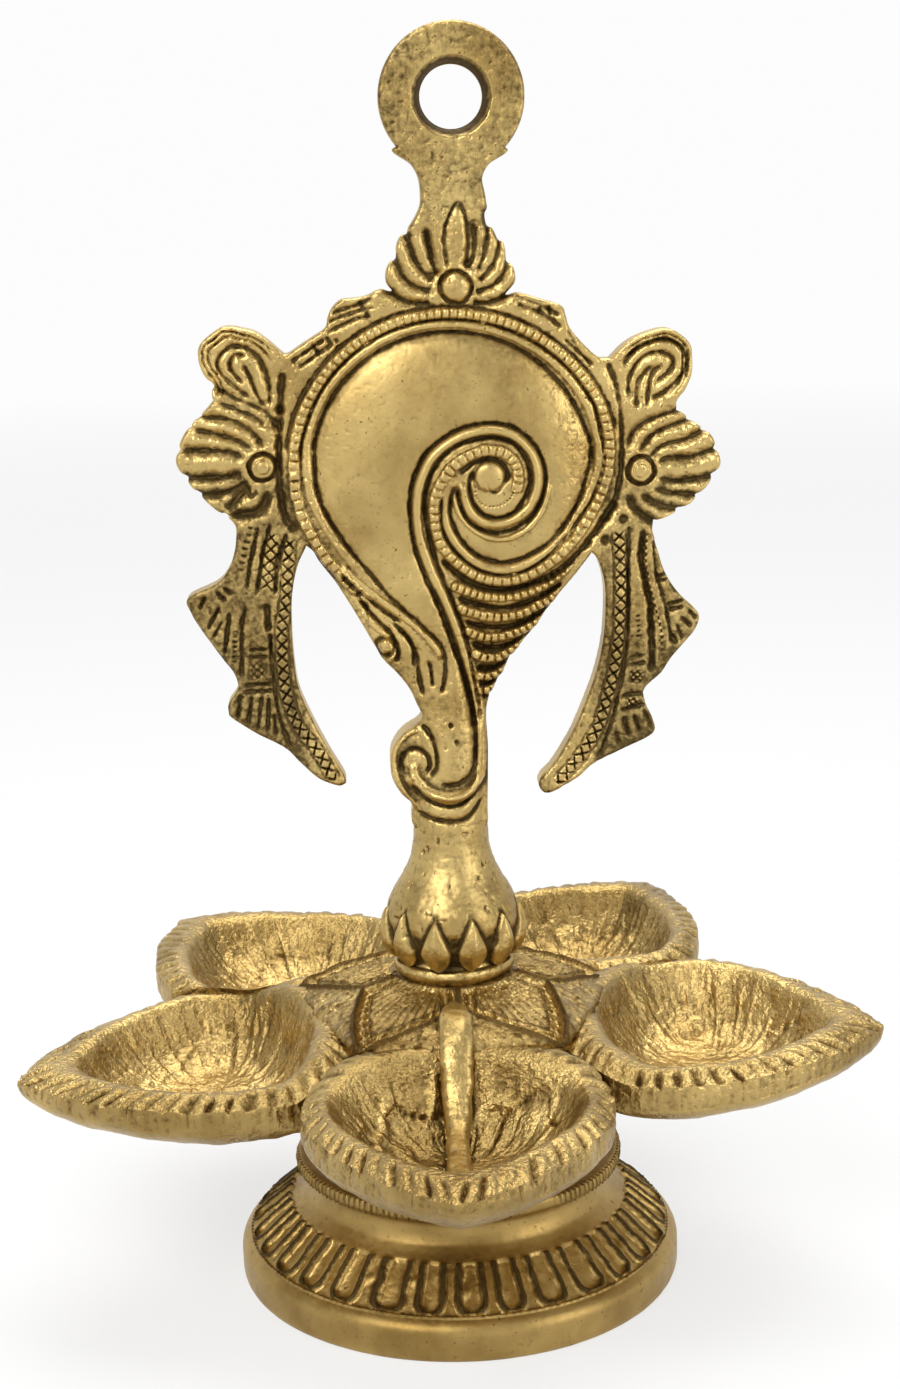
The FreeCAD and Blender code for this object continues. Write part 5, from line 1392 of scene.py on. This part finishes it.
def cup_work(index, grid, parts, row_shares, run):
    """Height of the carved and cast work on a cup, and how hollow each point is."""
    well, rim, band, belly = parts
    inner_share, rim_share, band_share = row_shares
    height = grid[..., 2]
    place = grid + index * 211.0
    level = rim_share + 0 * run[None, :]
    wide_run = run[None, :] + 0 * level
    layer = np.full_like(wide_run, index * 9.7)
    # Slanting lens-shaped notches on the outer part of the rim
    side = np.where(grid[..., 1] > 0, -1.0, 1.0)
    along_rim = (wide_run + NOTCH_SLANT * side * level) / NOTCH_PITCH
    along_rim = along_rim + 0.16 * noise(np.stack([wide_run, level * 3, layer], -1), 5.0, 21)
    number = np.floor(along_rim)
    off = (along_rim - number - 0.5) * NOTCH_PITCH
    first, second = lot(number, index, 3), lot(number, index, 13)
    lens = dome(level - 0.72 - 0.16 * (first - 0.5), 0.26 + 0.20 * second)
    wide_lens = (0.45 + 0.45 * second) * lens + 0.08
    notch = rim * lens * (0.25 + 1.0 * first) * bell(off, wide_lens)
    lumps = noise(np.stack([wide_run, level * 4, layer], -1), (2.4, 1.5, 1.0), 22)
    edge_lumps = 0.38 * lumps * (smoothstep(level, 0.35, 0.8) * rim + band * (1 - band_share) ** 2)
    filed = noise(np.stack([wide_run, 0.12 * height, layer], -1), (0.6, 1.0, 1.0), 23)
    bitten = np.clip(noise(np.stack([wide_run, height, layer], -1), (1.5, 1.2, 1.0), 68) - 0.35, 0, 1)
    # Cast wall inside, with streaks that run down it and curved veins near the floor
    down = np.stack([wide_run + 5.0 * inner_share ** 2, 7.0 * inner_share + 0 * wide_run, layer], -1)
    streaks = layers(down, (0.30, (2.4, 5.0, 1.0), 24), (0.20, (1.2, 2.4, 1.0), 25))
    bend = noise(place * (1.0, 1.0, 0.6), 7.0, 26) * 5.0
    curved = np.stack([place[..., 0] * 0.35 + bend, place[..., 1] + bend, layer], -1)
    veins = noise(curved, (2.6, 1.5, 1.0), 30)
    # Folds and creases, broader in the front cup
    warp_x, warp_y = (place[..., k] + 2.2 * noise(place, 6.0, 73 + k) for k in (0, 1))
    warp = np.stack([warp_x, warp_y, 1.3 * place[..., 2]], -1)
    fold_wide, folds, fine = (7.5, 1.5, 0.42) if index == 0 else (4.6, 0.5, 0.52)
    crinkle = np.clip(1 - np.abs(noise(warp, fold_wide, 75)) / 0.34, 0, 1) ** 1.2
    crease = np.clip(1 - np.abs(noise(warp, 1.2 * fold_wide, 76)) / 0.14, 0, 1) ** 2
    wall = smoothstep(inner_share, 0.30, 0.62) * smoothstep(1.02 - inner_share, 0, 0.10)
    rough = layers(place, (0.34, 2.8, 27), (0.26, 1.4, 28), (0.16, 0.75, 29))
    shade = -1.05 * notch + edge_lumps + band * (0.24 * filed - 0.9 * bitten * (1 - band_share))
    shade = shade + well * (wall * streaks + (1 - 0.6 * wall) * 0.25 * veins + rough * fine)
    folded = folds * (0.60 * crinkle - 0.55 * crease)
    shade = shade + well * smoothstep(1.0 - inner_share, 0.0, 0.2) * folded
    plain = np.where(belly, 0.25, 0.34)
    shade = shade + 0.28 * noise(place, 6.0, 27) * ~band + rough * plain * ~well
    # The inner part of the rim is painted lighter, as wear with a painted highlight; the band and the inner
    # wall are made darker
    cavity = (shade - blur(shade, 3.0)) * 1.35 + rim * 0.25 * smoothstep(0.5 - level, 0, 0.3)
    return shade, np.clip(cavity - 0.12 * band - 0.10 * well * wall, -1, 1)


def cut_back(index, grid, cavity):
    """Cup cut off at the planes half way to its neighbours, with a sunk seam along them painted with shade.
    """
    azimuths = [cup[1] for cup in CUPS]
    azimuth = azimuths[index]
    before = azimuths[index - 1] - (360 if index == 0 else 0)
    after = azimuths[(index + 1) % 5] + (360 if index == 4 else 0)
    for limit, sign in (((before + azimuth) / 2, -1), ((azimuth + after) / 2, 1)):
        angle = math.radians(limit)
        out = sign * np.array([-math.sin(angle), math.cos(angle), 0.0])
        past = grid @ out
        grid = grid - np.clip(past - 0.15, 0, None)[..., None] * out
        grid[..., 2] -= 0.7 * bell(np.clip(-past, 0, None), 2.0)
        # Painted shade along the seam with the neighbouring cup
        cavity = cavity - 0.25 * bell(np.clip(-past, 0, None), 1.0)
    return grid, np.clip(cavity, -1, 1)


def make_cup(index):
    """Leaf cup: plain form, the work along its normals, then into place and cut back."""
    name, azimuth, tilt, roll, drop = CUPS[index][:5]
    grid, parts, row_shares, run, tip = cup_form(index)
    normal = np.cross(np.roll(grid, -1, 1) - np.roll(grid, 1, 1), np.gradient(grid, axis=0))
    normal /= np.maximum(np.linalg.norm(normal, axis=2, keepdims=True), 1e-9)
    if normal[WELL_ROWS + 6, grid.shape[1] // 2, 2] < 0:
        normal = -normal
    shade, cavity = cup_work(index, grid, parts, row_shares, run)
    grid = grid + normal * shade[..., None]
    # The tip stays within the solid's
    grid[..., 0] -= 0.65 * smoothstep(grid[..., 0], tip - 12.0, tip)
    grid = place_cup(grid, azimuth, tilt, roll, drop)
    grid, cavity = cut_back(index, grid, cavity)
    ring_grid(name + "_leaf", grid, CUP, (name,), {"cavity": cavity}, flip=True)


def rotation(angle, axis):
    """Matrix of a turn about the x, y or z axis, numbered from 0."""
    first, second = (axis + 1) % 3, (axis + 2) % 3
    turn = np.eye(3)
    turn[first, first] = turn[second, second] = math.cos(angle)
    turn[first, second], turn[second, first] = -math.sin(angle), math.sin(angle)
    return turn


def place_cup(grid, azimuth, tilt, roll, drop):
    """Tilt and roll about the lotus's edge, then turn to the azimuth at the rim's height."""
    pivot = np.array([29.5, 0.0, 0.0])
    tilt, roll, azimuth = -math.radians(tilt), math.radians(roll), math.radians(azimuth)
    moved = (grid - pivot) @ (rotation(tilt, 1) @ rotation(roll, 0)).T + pivot
    return moved @ rotation(azimuth, 2).T + (0, 0, SEAT - drop)


STRAP_LINE = (
    (17.6, 8.6), (19.8, 8.6), (23.0, 8.2), (27.6, 7.0), (31.4, 3.0), (35.4, -4.2), (42.6, -9.4),
    (57.2, -10.2), (69.6, -6.3), (76.0, -1.0),
)


def make_strap():
    """Rounded bar that bends over the front cup's inner rim and runs along its floor."""
    line = spline(STRAP_LINE, 0.35)
    along = np.gradient(line, axis=0)
    along /= np.linalg.norm(along, axis=1, keepdims=True)
    out = np.stack([-along[:, 1], along[:, 0]], -1)
    angle = np.linspace(0, 2 * math.pi, 28, endpoint=False)
    share = np.linspace(0, 1, len(line))[:, None]
    half_wide = 3.2 - 1.0 * smoothstep(share, 0.26, 0.50)
    half_tall = 1.8
    ends = np.clip(np.minimum(share / 0.10, (1 - share) / 0.03), 0.15, 1) ** 0.6
    across = np.sign(np.cos(angle)) * np.abs(np.cos(angle)) ** 0.7 * half_wide * ends
    rise = np.sign(np.sin(angle)) * np.abs(np.sin(angle)) ** 0.85 * half_tall * ends
    grid = np.stack([line[:, :1] + out[:, :1] * rise, across, line[:, 1:] + out[:, 1:] * rise], -1)
    shade = layers(grid, (0.22, 2.4, 31), (0.12, 1.0, 32))
    centre = np.stack([line[:, 0], 0 * line[:, 0], line[:, 1]], -1)[:, None]
    away = grid - centre
    grid = grid + away / np.maximum(np.linalg.norm(away, axis=2, keepdims=True), 1e-6) * shade[..., None]
    azimuth, tilt, roll, drop = CUPS[0][1:5]
    # The lower side of the bar is painted darker, a painted shade
    cavity = np.clip(shade * 1.5 + 0.1 - 0.5 * (rise < -0.6), -1, 1)
    grid = place_cup(grid, azimuth, tilt, roll, drop)
    ring_grid("cup_strap_bar", grid, CAST, ("cup_strap",), {"cavity": cavity}, flip=True)


# Foot
FOOT_PETALS, ROUND_END = 31, 2.6
CONE_LOW, CONE_HIGH = (42.9, 8.7), (34.6, 15.7)
FOOT_OUTSIDE = ((4.3, PAD - 0.02), (14.6, PAD - 0.02), (15.0, 29.6), (15.2, 25.2), (16.0, 24.8),
                (29.4, 24.8), (30.2, 25.1), (30.6, 25.9), (31.0, 26.0), (32.6, 26.0), (33.2, 25.6),
                (33.3, 24.6), (33.2, 23.5), (32.4, 23.1), (31.2, 22.6), (30.8, 21.5), (31.0, 19.8),
                (31.8, 18.0), (33.2, 16.7), CONE_HIGH, CONE_LOW, (43.5, 8.3), (44.3, 7.8),
                (45.0, 7.0), (45.4, 6.0), (45.4, 1.2), (45.0, 0.3),
                (44.4, 0.0))
FOOT_INSIDE = (
    (44.4, 0.0), (42.0, 0.0), (41.6, 0.4), (41.6, 6.4), (41.0, 7.2), (31.4, 13.6), (28.4, 16.8),
    (26.6, 18.6), (16.0, 22.2), (14.6, 22.5), (4.3, 22.5), (4.3, PAD - 0.02),
)


def nicks(angle, radius, pitch, width):
    """Row of short cuts round the axis."""
    return bell(((angle * radius) / pitch) % 1.0 - 0.5, width)[None, :]


def make_foot():
    """Foot with petals on its cone and a nicked flange, in three pieces: dish, outside and inside."""
    columns = 992
    outside = soften(resample(FOOT_OUTSIDE, 0.42), 2)
    grid, normal, angle = turned(outside, columns)
    radius, height = outside[:, :1], outside[:, 1:]
    slope = np.subtract(CONE_HIGH, CONE_LOW)
    length = np.linalg.norm(slope)
    run, off_cone = (((outside - CONE_LOW) @ way / length)[:, None]
                     for way in (slope, slope[::-1] * (1, -1)))
    on_cone = (run > -0.6) & (run < length + 0.3) & (np.abs(off_cone) < 0.8)
    sway = 0.16 * noise(np.stack([angle * 14, 0 * angle, 0 * angle], -1), 3.0, 41)
    turn = (angle + math.pi / 2) / (2 * math.pi / FOOT_PETALS) + sway
    cell = np.round(turn)
    off = (turn - cell)[None, :] * (2 * math.pi / FOOT_PETALS) * radius
    half = 1.95 - 0.055 * run
    # Petals end in a half circle at the foot of the cone
    past_end = np.minimum(run - ROUND_END, 0)
    gap = np.where(run < ROUND_END, np.hypot(off, past_end), np.abs(off)) - half
    gap = gap + layers(grid, (0.22, 1.7, 69), (0.12, 0.8, 70))
    wall = np.exp(-((gap - 0.75) / 0.62) ** 4)
    tongue = np.clip(1 - (np.clip(gap + half, 0, None) / half) ** 2, 0, 1)
    edge = smoothstep(run, 0.05, 0.5) * smoothstep(length + 0.1 - run, 0, 0.4)
    shade = on_cone * edge * (-0.85 * wall + 0.45 * np.sqrt(tongue))
    # Worn patches, nicks along the cone's foot and the flange, and scars
    worn = smoothstep(noise(grid, 7.0, 42), 0.1, 0.6)
    shade = shade * (1 - 0.35 * worn)
    rim_line = bell(run + 0.45, 0.35) * on_cone
    shade -= rim_line * (0.35 + 0.25 * nicks(angle, 30.5, 1.05, 0.2))
    on_flange = (radius > 32.9) & (height > 23.2)
    cuts = nicks(angle, 33.2, 1.35, 0.16)
    shade -= on_flange * 0.55 * cuts * smoothstep(noise(grid, 9.0, 43), -0.9, -0.2)
    shade = shade + (0.03 + 0.05 * on_cone) * layers(grid, (1.0, 2.6, 44), (0.5, 1.0, 45))
    scar = np.clip(noise(grid, 3.2, 46) - 0.45, 0, 1) * on_cone
    shade = shade - 0.8 * scar
    keep = smoothstep(radius, 4.4, 6.0)
    grid = grid + normal * (shade * keep)[..., None]
    grid[..., 2] = np.maximum(grid[..., 2], 0.0)
    # The dished top under the cups is painted dark, a painted shade
    dish = ((radius > 15.5) & (radius < 30.0) & (height > 24.0)) * 0.55
    cavity = np.clip((shade - blur(shade, 4.0)) * 1.5 - dish - 0.35 * on_cone * edge * wall, -1, 1)
    polish = np.broadcast_to(np.where(on_cone, 0.4, 0.9), cavity.shape)
    flange = int(np.argmax(outside[:, 0] > 30.0))
    parts = (("foot_dish", slice(0, flange + 1), 2), ("foot_outside", slice(flange, None), 1))
    for name, rows, every in parts:
        shades = {"cavity": cavity[rows, ::every], "polish": polish[rows, ::every]}
        ring_grid(name, grid[rows, ::every], FOOT, ("foot",), shades, (False, False))
    inside = soften(resample(FOOT_INSIDE, 0.9), 1)
    grid, normal, _ = turned(inside, 300)
    shade = layers(grid, (0.15, 3.0, 47), (0.08, 1.2, 48))
    shade = shade * smoothstep(inside[:, 1:], 0.0, 1.0)
    grid = grid + normal * shade[..., None]
    ring_grid("foot_inside", grid, FOOT, ("foot",), {"cavity": shade - 0.35}, (False, False))


# Stud with its thread, washers and nut
def make_fasteners():
    """Threaded stud and nut, and the looks of the two washers."""
    low, high = 9.2, 78.0
    columns, pitch = 40, 1.25
    up = np.arange(low, high, 0.16)
    angle = np.linspace(0, 2 * math.pi, columns, endpoint=False)
    phase = (up[:, None] / pitch - angle[None, :] / (2 * math.pi)) % 1.0
    chamfer = np.clip(np.minimum(up - low, high - up) / 0.8, 0, 1)[:, None]
    radius = 4.0 - 0.55 * (1 - chamfer) - 0.55 * (1 - np.abs(2 * phase - 1)) * chamfer
    grid = np.stack([radius * np.cos(angle), radius * np.sin(angle), np.repeat(up[:, None], columns, 1)], -1)
    ring_grid("threaded_stud", grid, TURNED, ("tie_stud",), {"cavity": (radius - 3.7) * 1.4})
    angle = np.linspace(0, 2 * math.pi, 96, endpoint=False)
    hexagon = 7.5 * math.cos(math.pi / 6) / np.cos((angle + math.pi / 6) % (math.pi / 3) - math.pi / 6)
    rows = []
    for height, share, bore in ((12.2, 0, 4.1), (12.2, 0.88, 0), (12.9, 1, 0), (18.0, 1, 0), (18.7, 0.88, 0),
                                (18.7, 0, 4.1)):
        circle = 7.0 if share == 0.88 else 99.0
        radius = np.full_like(angle, bore) if bore else np.minimum(hexagon, circle)
        level = np.full_like(angle, height)
        rows.append(np.stack([radius * np.cos(angle), radius * np.sin(angle), level], -1))
    grid = np.array(rows + rows[:1])
    ring_grid("stud_nut", grid, TURNED, ("hex_nut",), {"cavity": np.zeros(grid.shape[:2])},
              (False, False), smooth=25.0)
    for name, material in (("washer", TURNED), ("lock_washer", STEEL)):
        solid = bpy.data.objects[name]
        solid.data.materials.clear()
        solid.data.materials.append(material)


# Light and floor
def area_light(name, place, target, wide, tall, power):
    """White softbox that faces its target, sizes in metres and power in watts."""
    data = bpy.data.lights.new(name, "AREA")
    data.shape = "RECTANGLE"
    data.size, data.size_y = wide, tall
    data.energy = power
    light = bpy.data.objects.new(name, data)
    away = np.asarray(place, float) - np.asarray(target, float)
    away /= np.linalg.norm(away)
    side = np.cross((0, 0, 1), away)
    side /= np.linalg.norm(side)
    up = np.cross(away, side)
    light.matrix_world = Matrix([[side[k], up[k], away[k], place[k]] for k in range(3)] + [[0, 0, 0, 1]])
    bpy.context.scene.collection.objects.link(light)


def make_studio():
    """White floor, soft grey surroundings and three lamps."""
    mesh = bpy.data.meshes.new("floor")
    # Round floor that turns up into a wall, low all round and tall behind the lamp
    reach, turn, low, tall, count = 9.0, 2.5, 2.8, 20.0, 96
    bend = np.linspace(0, math.pi / 2, 12)
    side = [(4.0, 0.0)] + [(reach - turn + turn * math.sin(a), turn - turn * math.cos(a)) for a in bend]
    around = np.linspace(0, 2 * math.pi, count, endpoint=False)
    points = [(out * math.cos(a), out * math.sin(a), up) for out, up in side for a in around]
    behind = low + (tall - low) * smoothstep(np.sin(around), 0.30, 0.48)
    points += [(reach * math.cos(a), reach * math.sin(a), up) for a, up in zip(around, behind)]
    faces = [tuple(range(count))] + grid_faces(len(side) + 1, count, flip=True)
    mesh.from_pydata(points, [], faces)
    mesh.shade_smooth()
    floor = bpy.data.objects.new("floor", mesh)
    bpy.context.scene.collection.objects.link(floor)
    material = bpy.data.materials.new("white_floor")
    material.use_nodes = True
    tree = material.node_tree
    shader = tree.nodes["Principled BSDF"]
    shader.inputs["Base Color"].default_value = (0.86, 0.86, 0.86, 1)
    shader.inputs["Roughness"].default_value = 0.9
    glow = node(tree, "ShaderNodeEmission")
    path = node(tree, "ShaderNodeLightPath")
    seen = combine(tree, "MAXIMUM", path.outputs["Is Camera Ray"], path.outputs["Is Glossy Ray"])
    seen = combine(tree, "MAXIMUM", seen, path.outputs["Is Transmission Ray"])
    # The floor keeps the shadow near the lamp and turns plain white away from it
    away = node(tree, "ShaderNodeVectorMath", operation="LENGTH")
    wire(tree, node(tree, "ShaderNodeTexCoord").outputs["Object"], away.inputs[0])
    white = remap(tree, away.outputs["Value"], 0.5, 2.0, 0.7, 0.97)
    mix = node(tree, "ShaderNodeMixShader")
    wire(tree, times(tree, seen, white), mix.inputs["Fac"])
    wire(tree, shader.outputs["BSDF"], mix.inputs[1])
    wire(tree, glow.outputs["Emission"], mix.inputs[2])
    wire(tree, mix.outputs["Shader"], tree.nodes["Material Output"].inputs["Surface"])
    mesh.materials.append(material)
    world = bpy.data.worlds.new("studio")
    world.use_nodes = True
    world.node_tree.nodes["Background"].inputs["Color"].default_value = (0.35, 0.35, 0.35, 1)
    world.node_tree.nodes["Background"].inputs["Strength"].default_value = 1.0
    bpy.context.scene.world = world
    middle = (0, 0, 0.12)
    area_light("key_softbox", (-0.55, -0.9, 0.95), middle, 0.8, 0.8, 11.0)
    area_light("fill_softbox", (0.9, -0.7, 0.5), middle, 0.4, 0.9, 4.0)
    area_light("top_softbox", (0.1, 0.25, 1.1), (0, 0, 0.1), 0.9, 0.6, 9.0)
    bpy.context.scene.view_settings.view_transform = "Standard"


make_camera()
make_studio()
make_finial_plate()
make_bulb()
make_lotus()
make_stem()
for number in range(len(CUPS)):
    make_cup(number)
make_strap()
make_foot()
make_fasteners()
